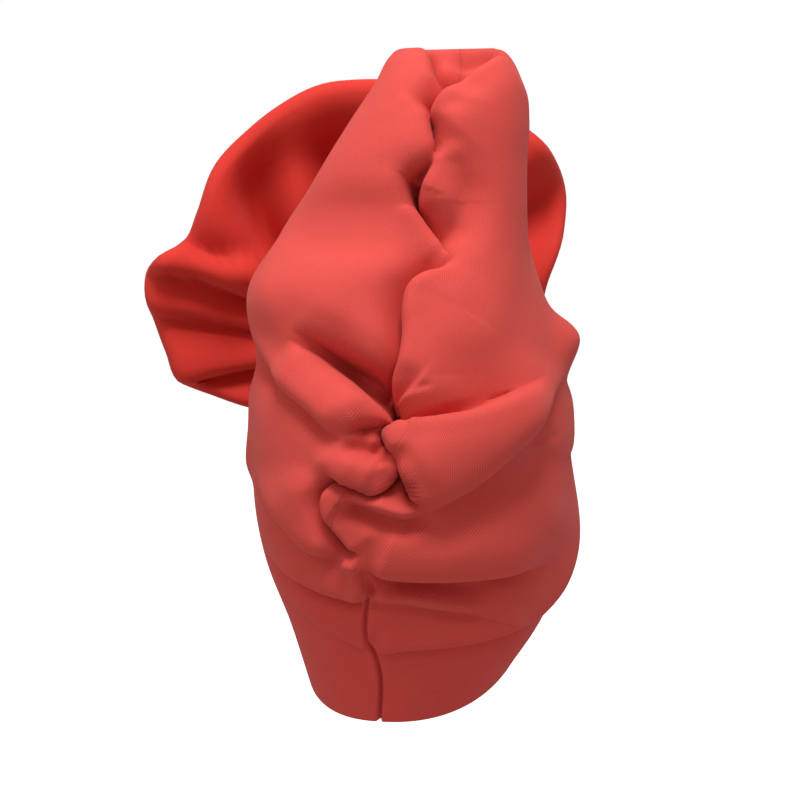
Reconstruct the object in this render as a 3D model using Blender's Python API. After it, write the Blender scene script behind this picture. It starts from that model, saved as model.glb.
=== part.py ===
"""A pre-tied gele head wrap of thick knit cloth.

A fitted band runs round the head. Two gathered halves of the wrap rise from it to a tall hollow loop,
and a pleated fan of doubled cloth stands at the front. Z is up, the nape hem is at zero, the back of
the head faces -Y, and the head's axis is at X = Y = 0.
"""
import math
from collections import namedtuple

import bpy
import numpy as np
from mathutils import Vector
from mathutils.bvhtree import BVHTree

# Sizes in metres
WALL = 0.0018
SEAM_GAP = 0.0004
SEAT_GAP = 0.0004
CROWN_HEIGHT = 0.201
LOOP_HEIGHT = 0.161
FOREHEAD_RISE = 0.085
CROWN_HALF_WIDTH = 0.089
BACK_DEPTH = 0.109
FRONT_DEPTH = 0.104
HEM_HALF_WIDTH = 0.0605
HEM_DEPTH = 0.080
LOOP_HALF_WIDTH = 0.078
LOOP_DEPTH = 0.071
PEAK_SLIT = 0.0010
PEAK_NARROWING = 0.8
FAN_RADIUS = 0.160
FAN_DISH = 0.034
FAN_PUFF = 0.007
FAN_RIM_ROLL = 0.006
FAN_ROOT_RADIUS = 0.034
FAN_EYE_RADIUS = 0.006
FAN_SETBACK = 0.008
FAN_CLEARANCE = 0.002
FOLD_DEPTH = 0.010
FOLD_WIDTH = 0.010
PLEAT_DEPTH = 0.010

# Where the fan is sewn on: degrees round from the back of the head, and its turn and lean
FAN_AZIMUTH = -151.0
FAN_UP = 0.945
FAN_TURN = math.radians(22.0)
FAN_LEAN = math.radians(5.0)

# The back's folds are laid out on an upright sheet through the head's axis, turned by LAYOUT_TURN and
# tipped by LAYOUT_RISE, and are carried to the cloth from a point that lies these heights behind and up.
LAYOUT_TURN = math.radians(15.0)
LAYOUT_RISE = math.radians(4.0)
LAYOUT_HEIGHTS_BEHIND = 3.45
LAYOUT_HEIGHTS_UP = 0.46
STEPS_ACROSS = 80
STEPS_UP = 323

# Rows and columns of cloth
HALF_COLUMNS = 25
DRAPE_ROWS = 32
BAND_ROWS = 6
FAN_COLUMNS = 54
FAN_FRONT_ROWS = 7
FAN_RIM_ROWS = 3
FAN_BACK_ROWS = 6

# Small steps round and up the cloth, over which its slope is taken: of the wrap without folds, of the wrap
# with them, and of the fan (in degrees and in its own share)
PLAIN_STEPS = (0.02, 0.008)
WALL_STEPS = (0.035, 0.009)
FAN_STEPS = (3.0, 0.012)

# Shares of the fan's doubled cloth: its front layer ends, its back layer starts, and that layer's share
# from which it closes in to the root
FAN_FRONT_SHARE = 0.45
FAN_BACK_SHARE = 0.55
FAN_NECK_SHARE = 0.7

# A lap leans over: a share of its rise and sink, at a share of its roll, over a share of its roll
LAP_LEAN_SHARES = (0.35, 0.5, 0.7)

HEIGHT = CROWN_HEIGHT + LOOP_HEIGHT
STEP_ACROSS = CROWN_HALF_WIDTH / STEPS_ACROSS
STEP_UP = HEIGHT / STEPS_UP
LAYOUT_DISTANCE = LAYOUT_HEIGHTS_BEHIND * HEIGHT
LAYOUT_HEIGHT = LAYOUT_HEIGHTS_UP * HEIGHT

# Sections of the crown, from the hem up. up is a share of CROWN_HEIGHT, rise of FOREHEAD_RISE, x, y, left
# and right of CROWN_HALF_WIDTH, back of BACK_DEPTH and front of FRONT_DEPTH.
Section = namedtuple("Section", "name up rise x y left right back front")
CROWN_SECTIONS = (
    Section("band", 0.18, 0.85, 0.03, 0.07, 0.80, 0.93, 0.825, 0.915),
    Section("band top", 0.35, 0.78, 0.02, 0.05, 0.93, 0.99, 0.925, 0.96),
    Section("lower drape", 0.53, 0.61, 0.01, 0.03, 0.98, 1.00, 0.98, 1.0),
    Section("widest", 0.70, 0.45, 0.03, 0.02, 1.00, 0.98, 1.0, 0.95),
    Section("crown", 0.855, 0.25, 0.00, 0.03, 1.00, 0.99, 0.925, 0.855),
    Section("shoulder", 1.0, 0.09, -0.01, 0.04, 0.935, 0.93, 0.81, 0.73),
)
# Sections of the tall loop. up is a share of LOOP_HEIGHT above the crown, x, left and right are shares of
# LOOP_HALF_WIDTH, and y, back and front of LOOP_DEPTH.
LOOP_SECTIONS = (
    Section("foot", 0.17, 0.0, -0.05, 0.03, 1.00, 1.00, 1.0, 0.87),
    Section("loop", 0.37, 0.0, -0.01, 0.00, 0.85, 0.85, 0.775, 0.70),
    Section("upper loop", 0.58, 0.0, 0.10, 0.00, 0.72, 0.72, 0.62, 0.59),
    Section("near the peak", 0.75, 0.0, 0.22, 0.03, 0.63, 0.62, 0.51, 0.48),
    Section("top bend", 0.885, 0.0, 0.29, 0.05, 0.52, 0.50, 0.38, 0.36),
    Section("rounding over", 0.96, 0.0, 0.31, 0.06, 0.47, 0.41, 0.25, 0.24),
    Section("peak", 0.99, 0.0, 0.32, 0.06, 0.42, 0.34, 0.12, 0.12),
)

# The crease where the two halves meet at the back, from the hem up: the seam, the knot and the crossing
# strands. across and up are in the layout's steps.
CREASE = (
    (-15, -13), (-15, 18), (-19, 24), (-22, 34), (-22, 49), (-24, 60), (-27, 71), (-31, 78), (-35, 87),
    (-34, 97), (-28, 104), (-14, 110), (-7, 116), (-7, 124), (-6, 131), (-1, 139), (-6, 153), (-9, 161),
    (-8, 168), (-4, 186), (-3, 199), (3, 206), (12, 214), (18, 222), (10, 234), (3, 246), (4, 257),
    (11, 270), (9, 284), (17, 300), (24, 318), (27, 340),
)

# The upper edge of the band: degrees round from the back, and height as a share of CROWN_HEIGHT
BAND_EDGE = (
    (-180, 0.60), (-140, 0.57), (-100, 0.50), (-60, 0.436), (-44, 0.413), (-29, 0.382), (-17, 0.356),
    (0, 0.34), (15, 0.321), (29, 0.302), (49, 0.264), (62, 0.24), (85, 0.295), (110, 0.42), (145, 0.55),
    (180, 0.60),
)

# Folds. rise and sink are shares of FOLD_DEPTH, roll, dip and reach of FOLD_WIDTH: a lap rises over its roll
# on the right-hand side of its route and sinks over its dip on the other. fade_in and fade_out are shares
# of the route, whose points are (across, up) in the layout's steps.
Fold = namedtuple("Fold", "name kind rise sink roll dip reach fade_in fade_out route")
BACK_FOLDS = (
    Fold("left lobe", "swell", 0.5, 0, 2.4, 0, 0, 0, 0, ((-55, 199), (-38, 229), (-20, 264), (-5, 299))),
    Fold("right strand", "swell", 0.6, 0, 1.8, 0, 0, 0, 0,
         ((45, 304), (43, 274), (41, 244), (33, 214), (26, 179))),
    Fold("right roll", "swell", 0.6, 0, 1.5, 0, 0, 0, 0, ((10, 118), (30, 129), (50, 146))),
    Fold("lower roll", "swell", 0.5, 0, 1.6, 0, 0, 0, 0, ((-15, 79), (15, 82), (40, 84), (65, 92))),
    Fold("panel between the strands at the peak", "valley", 0, 0.8, 1.3, 1.3, 0, 0, 0.3,
         ((28, 334), (26, 319), (19, 299))),
    Fold("pocket between the strands", "valley", 0, 0.9, 0.9, 0.9, 0, 0.2, 0.2,
         ((2, 268), (0, 257), (2, 244))),
    Fold("right strand's inner edge", "lap", 0.35, 0.5, 1.0, 1.0, 2.0, 0.2, 0.25,
         ((18, 218), (24, 228), (26, 242), (25, 254), (21, 264))),
    Fold("right strand over left", "lap", 0.5, 0.9, 1.2, 1.5, 2.2, 0.1, 0.25,
         ((1, 136), (-5, 148), (-10, 160), (-7, 169), (-4, 182), (-3, 199), (5, 208), (13, 214), (21, 222))),
    Fold("left bulge", "ridge", 0.7, 0, 2.2, 2.2, 0, 0.25, 0.25,
         ((-85, 196), (-55, 198), (-25, 203), (-2, 210), (15, 217))),
    Fold("hollow over the bulge", "swell", -0.5, 0, 1.6, 0, 0, 0, 0,
         ((-50, 233), (-30, 235), (-5, 233), (10, 228))),
    Fold("deep valley", "valley", 0, 1.2, 1.1, 1.1, 0, 0.35, 0.15,
         ((-55, 179), (-40, 168), (-22, 158), (-3, 142))),
    Fold("roll under the valley", "ridge", 0.6, 0, 1.0, 1.0, 0, 0.3, 0.2,
         ((-59, 182), (-52, 166), (-38, 154), (-20, 145), (-7, 140))),
    Fold("left lobe over the side", "lap", 0.6, 0.3, 1.3, 1.0, 2.2, 0.15, 0.15,
         ((-32, 126), (-40, 132), (-50, 144), (-62, 160), (-74, 173), (-79, 186), (-81, 202))),
    Fold("tongue at the knot", "ridge", 0.5, 0, 1.0, 1.0, 0, 0.3, 0.2,
         ((-50, 117), (-38, 118), (-26, 115), (-15, 112))),
    Fold("recess by the tongue", "valley", 0, 0.5, 0.9, 0.9, 0, 0.3, 0.3,
         ((-1, 116), (-6, 106), (-14, 103))),
    Fold("right roll's top", "lap", 0.4, 0.9, 1.1, 1.4, 1.8, 0.15, 0.35,
         ((-15, 138), (1, 137), (15, 138), (28, 140), (40, 145), (52, 152), (68, 163))),
    Fold("right roll over the side", "lap", 0.4, 0.4, 1.3, 1.1, 2.0, 0.3, 0.2,
         ((82, 166), (75, 156), (66, 144), (57, 132), (44, 119), (30, 107), (15, 98), (1, 89))),
    Fold("lower roll's left edge", "lap", 0.3, 0.7, 1.0, 1.0, 1.2, 0.2, 0.2,
         ((-25, 72), (-32, 80), (-36, 86), (-40, 94), (-41, 100), (-39, 106), (-34, 111))),
    Fold("left layer's edge", "lap", 0.4, 0.3, 1.0, 0.9, 2.0, 0.15, 0.2,
         ((-33, 72), (-44, 74), (-55, 82), (-65, 92), (-73, 104), (-78, 118))),
    Fold("lower roll over the band", "lap", 0.4, 0.5, 1.0, 0.9, 1.8, 0.3, 0.15,
         ((75, 71), (68, 68), (52, 63), (30, 60), (12, 59), (-5, 60), (-15, 62), (-24, 66))),
    Fold("left fold over the nape", "lap", 0.4, 0.4, 1.0, 0.8, 1.8, 0.15, 0.15,
         ((-22, 48), (-32, 50), (-44, 54), (-56, 60), (-68, 68), (-76, 76))),
)
# Folds of the sides, laid out as (degrees round from the back, height as a share of HEIGHT)
SIDE_FOLDS = (
    Fold("right drape over the band", "lap", 0.5, 0.2, 1.2, 1.0, 2.0, 0.3, 0.3,
         ((150, 0.30), (110, 0.232), (85, 0.166), (60, 0.134), (40, 0.15))),
    Fold("side roll", "ridge", 1.4, 0, 1.1, 0.9, 0, 0.3, 0.3,
         ((45, 0.525), (70, 0.55), (100, 0.57), (140, 0.575), (175, 0.555))),
    Fold("under the side roll", "valley", 0, 0.4, 0.9, 0.9, 0, 0.3, 0.3,
         ((55, 0.48), (80, 0.50), (110, 0.52), (150, 0.525))),
    Fold("right fold", "lap", 0.3, 0.3, 1.1, 1.0, 2.5, 0.25, 0.3,
         ((175, 0.48), (150, 0.44), (110, 0.39), (75, 0.37), (50, 0.345))),
    Fold("left fold", "lap", 0.4, 0.4, 1.1, 1.0, 2.5, 0.2, 0.25,
         ((-60, 0.33), (-85, 0.36), (-110, 0.395), (-128, 0.42))),
    Fold("left lobe", "lap", 0.5, 0.4, 1.2, 1.0, 2.5, 0.2, 0.25,
         ((-60, 0.52), (-85, 0.56), (-108, 0.575), (-126, 0.58))),
)

# The fan's outline, anticlockwise from its right as seen from behind: degrees and share of FAN_RADIUS
FAN_OUTLINE = (
    (-90, 0.38), (-50, 0.41), (-20, 0.49), (0, 0.56), (12, 0.64), (23, 0.71), (32, 0.85), (38, 0.94),
    (48, 0.99), (57, 1.0), (70, 1.01), (87, 1.0), (94, 1.0), (101, 1.0), (112, 0.965), (120, 0.935),
    (131, 0.90), (142, 0.83), (150, 0.81), (157, 0.88), (166, 0.87), (172, 0.82), (180, 0.77), (190, 0.72),
    (196, 0.62), (206, 0.50), (225, 0.41), (245, 0.38), (270, 0.38),
)
# Pleats. Their depths are shares of PLEAT_DEPTH and widths of FOLD_WIDTH, and their routes are (degrees
# round, share of the way out to the rim).
PLEATS = (
    Fold("notch", "lap", 0.4, 0.5, 1.2, 1.0, 2.0, 0.25, 0, ((151.5, 1.05), (150, 0.88), (144, 0.72))),
    Fold("first pleat", "lap", 0.5, 0.7, 1.2, 1.3, 3.0, 0, 0.2,
         ((158, 0.3), (157, 0.6), (158, 0.85), (161, 1.02))),
    Fold("second pleat", "lap", 0.5, 0.6, 1.2, 1.3, 3.0, 0, 0.2,
         ((171, 0.3), (170, 0.6), (170, 0.9), (171, 1.05))),
    Fold("third pleat", "lap", 0.5, 0.7, 1.2, 1.3, 3.0, 0, 0.2,
         ((188, 0.3), (189, 0.6), (190, 0.9), (191, 1.0))),
    Fold("hollow by the left rim", "valley", 0, 1.4, 1.6, 1.6, 0, 0.25, 0.2,
         ((124, 1.0), (126, 0.85), (132, 0.7), (139, 0.3))),
    Fold("left rim roll", "ridge", 0.6, 0, 1.4, 1.4, 0, 0.2, 0.3,
         ((150, 0.6), (141, 0.8), (133, 0.95), (128, 1.05))),
    Fold("inner bulge", "ridge", 0.6, 0, 1.6, 1.6, 0, 0.3, 0.3, ((116, 0.4), (116, 0.65), (112, 0.9))),
    Fold("top hollow", "valley", 0, 1.4, 1.3, 1.4, 0, 0.25, 0.1,
         ((100, 0.92), (101, 0.7), (103, 0.45), (105, 0.3))),
    Fold("top ridge", "ridge", 0.9, 0, 1.4, 1.4, 0, 0, 0.2, ((80, 1.1), (82, 0.3))),
    Fold("upper hollow", "valley", 0, 0.9, 1.3, 1.3, 0, 0, 0.2, ((64, 1.1), (66, 0.3))),
    Fold("right ridge", "ridge", 0.9, 0, 1.3, 1.3, 0, 0, 0.2, ((53, 1.1), (54, 0.3))),
    Fold("right hollow", "valley", 0, 1.3, 1.1, 1.1, 0, 0, 0.2,
         ((38, 1.1), (42, 0.8), (46, 0.6), (48, 0.3))),
    Fold("right lower ridge", "ridge", 0.7, 0, 1.4, 1.4, 0, 0, 0.2, ((22, 1.1), (24, 0.3))),
    Fold("lower hollow 1", "valley", 0, 0.6, 1.2, 1.2, 0, 0, 0.2, ((2, 1.1), (4, 0.3))),
    Fold("lower hollow 2", "valley", 0, 0.5, 1.2, 1.2, 0, 0, 0.2, ((-32, 1.1), (-30, 0.3))),
    Fold("lower hollow 3", "valley", 0, 0.5, 1.2, 1.2, 0, 0, 0.2, ((-66, 1.1), (-64, 0.3))),
    Fold("lower hollow 4", "valley", 0, 0.5, 1.2, 1.2, 0, 0, 0.2, ((244, 1.1), (244, 0.3))),
    Fold("lower hollow 5", "valley", 0, 0.5, 1.2, 1.2, 0, 0, 0.2, ((216, 1.1), (214, 0.3))),
)


def smooth(low, high, x):
    """0 below low, 1 above high, and a smooth step between."""
    t = np.clip((x - low) / (high - low), 0, 1)
    return t * t * (3 - 2 * t)


def spline(xs, ys, x):
    """A smooth curve through the points (xs, ys), read at x."""
    xs = np.asarray(xs, float)
    ys = np.asarray(ys, float)
    slope = np.gradient(ys, xs, axis=0)
    i = np.clip(np.searchsorted(xs, x) - 1, 0, len(xs) - 2)
    span = xs[i + 1] - xs[i]
    t = (x - xs[i]) / span
    if ys.ndim > 1:
        span = span[..., None]
        t = t[..., None]
    start = (2 * t**3 - 3 * t**2 + 1) * ys[i] + (t**3 - 2 * t**2 + t) * span * slope[i]
    return start + (3 * t**2 - 2 * t**3) * ys[i + 1] + (t**3 - t**2) * span * slope[i + 1]


def smooth_route(points):
    """The route as a fine smooth line."""
    p = np.asarray(points, float)
    run = np.concatenate([[0], np.cumsum(np.linalg.norm(np.diff(p, axis=0), axis=1))])
    return spline(run, p, np.linspace(0, run[-1], 8 * len(p)))


def from_route(at, route):
    """Distance from the route (positive on its right-hand side), share along it, and its right-hand side."""
    lengths = np.linalg.norm(np.diff(route, axis=0), axis=1)
    run = np.concatenate([[0], np.cumsum(lengths)])
    nearest = np.full(len(at), np.inf)
    distance = np.zeros(len(at))
    share = np.zeros(len(at))
    side = np.zeros((len(at), 2))
    for k in range(len(lengths)):
        along = (route[k + 1] - route[k]) / lengths[k]
        right = np.array([along[1], -along[0]])
        t = np.clip((at - route[k]) @ along, 0, lengths[k])
        off = at - route[k] - t[:, None] * along
        length = np.linalg.norm(off, axis=1)
        nearer = length < nearest
        nearest[nearer] = length[nearer]
        distance[nearer] = np.where(off[nearer] @ right < 0, -1, 1) * length[nearer]
        share[nearer] = (run[k] + t[nearer]) / run[-1]
        side[nearer] = right
    return distance, share, side


def fold_fade(share, fold):
    """1 along the fold, easing to 0 at its ends."""
    amount = np.ones_like(share)
    if fold.fade_in > 0:
        amount = amount * smooth(0, fold.fade_in, share)
    if fold.fade_out > 0:
        amount = amount * smooth(0, fold.fade_out, 1 - share)
    return amount


def bell(distance, width):
    return np.exp(-((distance / width) ** 2))


def lap_height(distance, rise, sink, roll, dip, reach):
    """A rolled edge of cloth over a dip: the section across a lap."""
    t = np.clip(distance / roll, 0, 1)
    edge = (rise + sink) * np.sqrt(1 - (1 - t) ** 2) - sink
    over = np.where(distance > roll, rise * bell(distance - roll, reach), edge)
    return np.where(distance > 0, over, -sink * bell(distance, dip))


def fold_relief(at, folds, scale, depth):
    """Height and sideways push of all the folds at the layout's points."""
    height = np.zeros(len(at))
    push = np.zeros((len(at), 2))
    for fold in folds:
        route = smooth_route(np.asarray(fold.route, float) * scale)
        rise = fold.rise * depth
        sink = fold.sink * depth
        roll = fold.roll * FOLD_WIDTH
        dip = fold.dip * FOLD_WIDTH
        reach = fold.reach * FOLD_WIDTH
        if fold.kind == "swell":
            flat = np.ones(len(at))
            for spot in route[::2]:
                flat *= 1 - 0.5 * bell(np.linalg.norm(at - spot, axis=1), roll)
            height += rise * (1 - flat)
            continue
        distance, share, side = from_route(at, route)
        amount = fold_fade(share, fold)
        width = np.where(distance > 0, roll, dip)
        if fold.kind == "lap":
            height += amount * lap_height(distance, rise, sink, roll, dip, reach)
            much, where, wide = LAP_LEAN_SHARES
            lean = much * (rise + sink) * bell(distance - where * roll, wide * roll) * (distance > -roll)
            push -= side * (amount * lean)[:, None]
        else:
            height += amount * (rise - sink) * bell(distance, width)
    return height, push


def section_table():
    """One row for each section: height at the back, rise to the front, centre, half widths and depths."""
    rows = [(0.0, FOREHEAD_RISE, 0.03 * CROWN_HALF_WIDTH, 0.09 * CROWN_HALF_WIDTH, HEM_HALF_WIDTH,
             HEM_HALF_WIDTH, HEM_DEPTH, 0.85 * FRONT_DEPTH)]
    for s in CROWN_SECTIONS:
        rows.append((s.up * CROWN_HEIGHT, s.rise * FOREHEAD_RISE, s.x * CROWN_HALF_WIDTH,
                     s.y * CROWN_HALF_WIDTH, s.left * CROWN_HALF_WIDTH, s.right * CROWN_HALF_WIDTH,
                     s.back * BACK_DEPTH, s.front * FRONT_DEPTH))
    for s in LOOP_SECTIONS:
        rows.append((CROWN_HEIGHT + s.up * LOOP_HEIGHT, 0.0, s.x * LOOP_HALF_WIDTH, s.y * LOOP_DEPTH,
                     s.left * LOOP_HALF_WIDTH, s.right * LOOP_HALF_WIDTH, s.back * LOOP_DEPTH,
                     s.front * LOOP_DEPTH))
    peak = rows[-1]
    rows.append((HEIGHT, 0.0, peak[2], peak[3], PEAK_NARROWING * peak[4], PEAK_NARROWING * peak[5],
                 PEAK_SLIT / 2, PEAK_SLIT / 2))
    return np.array(rows)


def shares_of_run(heights, depths):
    """How far up the cloth each section lies, from 0 to 1, measured along the back."""
    run = np.concatenate([[0], np.cumsum(np.hypot(np.diff(heights), np.diff(depths)))])
    return run / run[-1]


SECTION_ROWS = section_table()
SECTION_RUN = shares_of_run(SECTION_ROWS[:, 0], SECTION_ROWS[:, 6])


def plain_wrap(theta, v):
    """The wrap without its folds. theta is round from the back, positive to the right; v is 0 to 1 up."""
    z, rise, x, y, left, right, back, front = np.moveaxis(spline(SECTION_RUN, SECTION_ROWS, v), -1, 0)
    cosine = np.cos(theta)
    sine = np.sin(theta)
    forward = smooth(-0.35, 0.35, -cosine)
    depth = back * (1 - forward) + front * forward
    px = x + np.where(sine > 0, right, left) * sine
    py = y - depth * cosine
    pz = z + rise * np.clip((1 - cosine) / 2, 0, 1) ** 1.3
    return np.stack([px, py, pz], -1)


def unit(vectors):
    return vectors / np.maximum(np.linalg.norm(vectors, axis=-1, keepdims=True), 1e-12)


def surface_normals(surface, theta, v, step_theta, step_v):
    """Normals of a surface, from points a small step either way along it."""
    low_v = np.maximum(v - step_v, 0)
    high_v = np.minimum(v + step_v, 1)
    across = surface(theta + step_theta, v) - surface(theta - step_theta, v)
    up = surface(theta, high_v) - surface(theta, low_v)
    return unit(np.cross(across, up))


LAYOUT_RIGHT = np.array([math.cos(LAYOUT_TURN), math.sin(LAYOUT_TURN), 0.0])
LAYOUT_BACK = np.array([
    math.sin(LAYOUT_TURN) * math.cos(LAYOUT_RISE),
    -math.cos(LAYOUT_TURN) * math.cos(LAYOUT_RISE),
    math.sin(LAYOUT_RISE),
])
LAYOUT_UP = np.cross(LAYOUT_BACK, LAYOUT_RIGHT)
LAYOUT_POINT = LAYOUT_BACK * LAYOUT_DISTANCE + np.array([0.0, 0.0, LAYOUT_HEIGHT])


def on_layout(points):
    """Where the points fall on the layout sheet, across and up."""
    off = points - LAYOUT_POINT
    grow = LAYOUT_DISTANCE / -(off @ LAYOUT_BACK)
    across = (off @ LAYOUT_RIGHT) * grow
    up = (off @ LAYOUT_UP) * grow + LAYOUT_HEIGHT
    return np.stack([across, up], -1)


def folded_wrap(theta, v):
    """The wrap with its folds, as points in metres."""
    shape = theta.shape
    theta = theta.reshape(-1)
    v = v.reshape(-1)
    base = plain_wrap(theta, v)
    normal = surface_normals(plain_wrap, theta, v, *PLAIN_STEPS)
    facing = np.einsum("ij,ij->i", normal, unit(LAYOUT_POINT - base))
    back_scale = np.array([STEP_ACROSS, STEP_UP])
    height, push = fold_relief(on_layout(base), BACK_FOLDS, back_scale, FOLD_DEPTH)
    round_at = np.stack([theta * CROWN_HALF_WIDTH, base[:, 2]], -1)
    side_scale = np.array([math.radians(1) * CROWN_HALF_WIDTH, HEIGHT])
    side_height, _ = fold_relief(round_at, SIDE_FOLDS, side_scale, FOLD_DEPTH)
    from_back = smooth(0.0, 0.42, facing)
    seam_ease = smooth(0, 0.25, np.pi - np.abs(theta))
    rise = height * from_back + side_height * (1 - from_back) * seam_ease
    sideways = push[:, :1] * LAYOUT_RIGHT + push[:, 1:] * LAYOUT_UP
    points = base + normal * rise[:, None] + sideways * from_back[:, None]
    return points.reshape(*shape, 3)


def crease_angle(v):
    """The angle of the back crease at each v."""
    route_across, route_up = np.array(CREASE, float).T
    sweep = np.linspace(math.radians(-60), math.radians(60), 241)
    angles = np.empty(len(v))
    for k, at in enumerate(v):
        seen = on_layout(plain_wrap(sweep, np.full(len(sweep), at)))
        wanted = np.interp(seen[:, 1] / STEP_UP, route_up, route_across) * STEP_ACROSS
        past = np.flatnonzero(seen[:, 0] >= wanted)[0]
        before = seen[past - 1, 0] - wanted[past - 1]
        after = seen[past, 0] - wanted[past]
        angles[k] = sweep[past - 1] + (sweep[past] - sweep[past - 1]) * before / (before - after)
    return angles


CREASE_V = np.linspace(0, 1, 120)
CREASE_ANGLES = crease_angle(CREASE_V)


def half_angles(v, share, side):
    """Angles of one half's columns: share 0 is the back crease, 1 the front seam, side -1 or 1."""
    crease = np.interp(v, CREASE_V, CREASE_ANGLES)
    start = crease + side * SEAM_GAP / 2 / CROWN_HALF_WIDTH
    end = side * (math.pi - SEAM_GAP / 2 / CROWN_HALF_WIDTH)
    return start + (end - start) * share


def column_shares():
    """Columns close together at the back, wider at the front."""
    even = np.linspace(0, 1, HALF_COLUMNS + 1)
    return 0.55 * even + 0.45 * even**2.2


def edge_v(share, side, side_of_gap):
    """How far up the band's edge is, for each column of a half."""
    degrees, heights = np.array(BAND_EDGE).T
    sweep = np.linspace(0, 0.6, 200)
    v = np.empty(len(share))
    for k, at in enumerate(share):
        angle = half_angles(sweep, np.full(len(sweep), at), side)
        z = plain_wrap(angle, sweep)[:, 2]
        wanted = spline(degrees, heights, np.degrees(angle)) * CROWN_HEIGHT + side_of_gap * SEAM_GAP / 2
        v[k] = np.interp(0, z - wanted, sweep)
    return v


def half_grid(side, low, high, rows):
    """Angles and v of one half's cloth between two edges, row by row."""
    share = column_shares()
    v = low + (high - low) * np.linspace(0, 1, rows + 1)[:, None]
    angle = np.empty_like(v)
    for k, row in enumerate(v):
        angle[k] = half_angles(row, share, side)
    return angle, v


def wall_grids(angle, v):
    """Outer and inner points of a wall of cloth."""
    outer = folded_wrap(angle, v)
    normal = surface_normals(folded_wrap, angle, v, *WALL_STEPS)
    return outer, outer - normal * WALL


def ring_faces(index, closed):
    """Four-sided faces of a grid of vertex numbers."""
    right = np.roll(index, -1, axis=1) if closed else index[:, 1:]
    left = index if closed else index[:, :-1]
    corners = np.stack([left[:-1], right[:-1], right[1:], left[1:]], -1)
    return [tuple(face) for face in corners.reshape(-1, 4).tolist()]


def turned_over(faces):
    return [face[::-1] for face in faces]


def edge_faces(out, into):
    """Triangles that join the outer and inner points along one edge, all split the same way."""
    faces = []
    for k in range(len(out) - 1):
        faces.append((int(out[k]), int(into[k + 1]), int(out[k + 1])))
        faces.append((int(out[k]), int(into[k]), int(into[k + 1])))
    return faces


def closed_wall(name, outer, inner, material, closed=False, capped=False):
    """One closed solid between two grids of points, joined along the edges.

    closed joins the last column to the first. capped closes the first row with a point at its middle.
    """
    rows, columns = outer.shape[:2]
    count = rows * columns
    out = np.arange(count).reshape(rows, columns)
    into = out + count
    points = outer.reshape(-1, 3).tolist() + inner.reshape(-1, 3).tolist()
    faces = ring_faces(out, closed) + turned_over(ring_faces(into, closed))
    if closed:
        out = np.concatenate([out, out[:, :1]], axis=1)
        into = np.concatenate([into, into[:, :1]], axis=1)
    else:
        faces += turned_over(edge_faces(out[:, 0], into[:, 0]))
        faces += edge_faces(out[:, -1], into[:, -1])
    faces += turned_over(edge_faces(out[-1], into[-1]))
    if capped:
        points += [outer[0].mean(axis=0).tolist(), inner[0].mean(axis=0).tolist()]
        for k in range(columns):
            faces.append((2 * count, int(out[0, k + 1]), int(out[0, k])))
            faces.append((2 * count + 1, int(into[0, k]), int(into[0, k + 1])))
    else:
        faces += edge_faces(out[0], into[0])
    mesh = bpy.data.meshes.new(name)
    mesh.from_pydata(points, [], faces)
    mesh.materials.append(material)
    mesh.shade_smooth()
    mesh.set_sharp_from_angle(angle=math.radians(60))
    piece = bpy.data.objects.new(name, mesh)
    bpy.context.scene.collection.objects.link(piece)
    return piece


def cloth_material(name, colour):
    """Matt knit cloth."""
    material = bpy.data.materials.new(name)
    material.use_nodes = True
    shader = material.node_tree.nodes["Principled BSDF"]
    shader.inputs["Base Color"].default_value = (*colour, 1.0)
    shader.inputs["Roughness"].default_value = 0.85
    shader.inputs["Metallic"].default_value = 0.0
    return material


def make_drape(name, side, material):
    """One half of the gathered wrap, from the band's edge to the peak."""
    low = edge_v(column_shares(), side, 1)
    outer, inner = wall_grids(*half_grid(side, low, np.ones_like(low), DRAPE_ROWS))
    return closed_wall(name, outer[:, ::side], inner[:, ::side], material)


def make_band(name, material):
    """The fitted band: one strip round the head, its ends meeting at the back seam."""
    halves = []
    for side in (1, -1):
        high = edge_v(column_shares(), side, -1)
        outer, inner = wall_grids(*half_grid(side, np.zeros_like(high), high, BAND_ROWS))
        halves.append((outer[:, ::side], inner[:, ::side]))
    (right_out, right_in), (left_out, left_in) = halves
    outer = np.concatenate([right_out, left_out[:, 1:]], axis=1)
    inner = np.concatenate([right_in, left_in[:, 1:]], axis=1)
    return closed_wall(name, outer, inner, material)


FAN_RIGHT = np.array([math.cos(FAN_TURN), math.sin(FAN_TURN), 0.0])
FAN_FORWARD = np.array([
    -math.sin(FAN_TURN) * math.cos(FAN_LEAN),
    math.cos(FAN_TURN) * math.cos(FAN_LEAN),
    math.sin(FAN_LEAN),
])
FAN_UPWARD = np.cross(FAN_RIGHT, FAN_FORWARD)


def fan_centre():
    """The middle of the fan's root, a little inside the wrap's surface."""
    sweep = np.linspace(0, 1, 400)
    column = plain_wrap(np.full(len(sweep), math.radians(FAN_AZIMUTH)), sweep)
    v = np.interp(FAN_UP * CROWN_HEIGHT, column[:, 2], sweep)
    seat = plain_wrap(np.array([math.radians(FAN_AZIMUTH)]), np.array([v]))[0]
    return seat - FAN_FORWARD * FAN_SETBACK


FAN_CENTRE = fan_centre()


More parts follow.
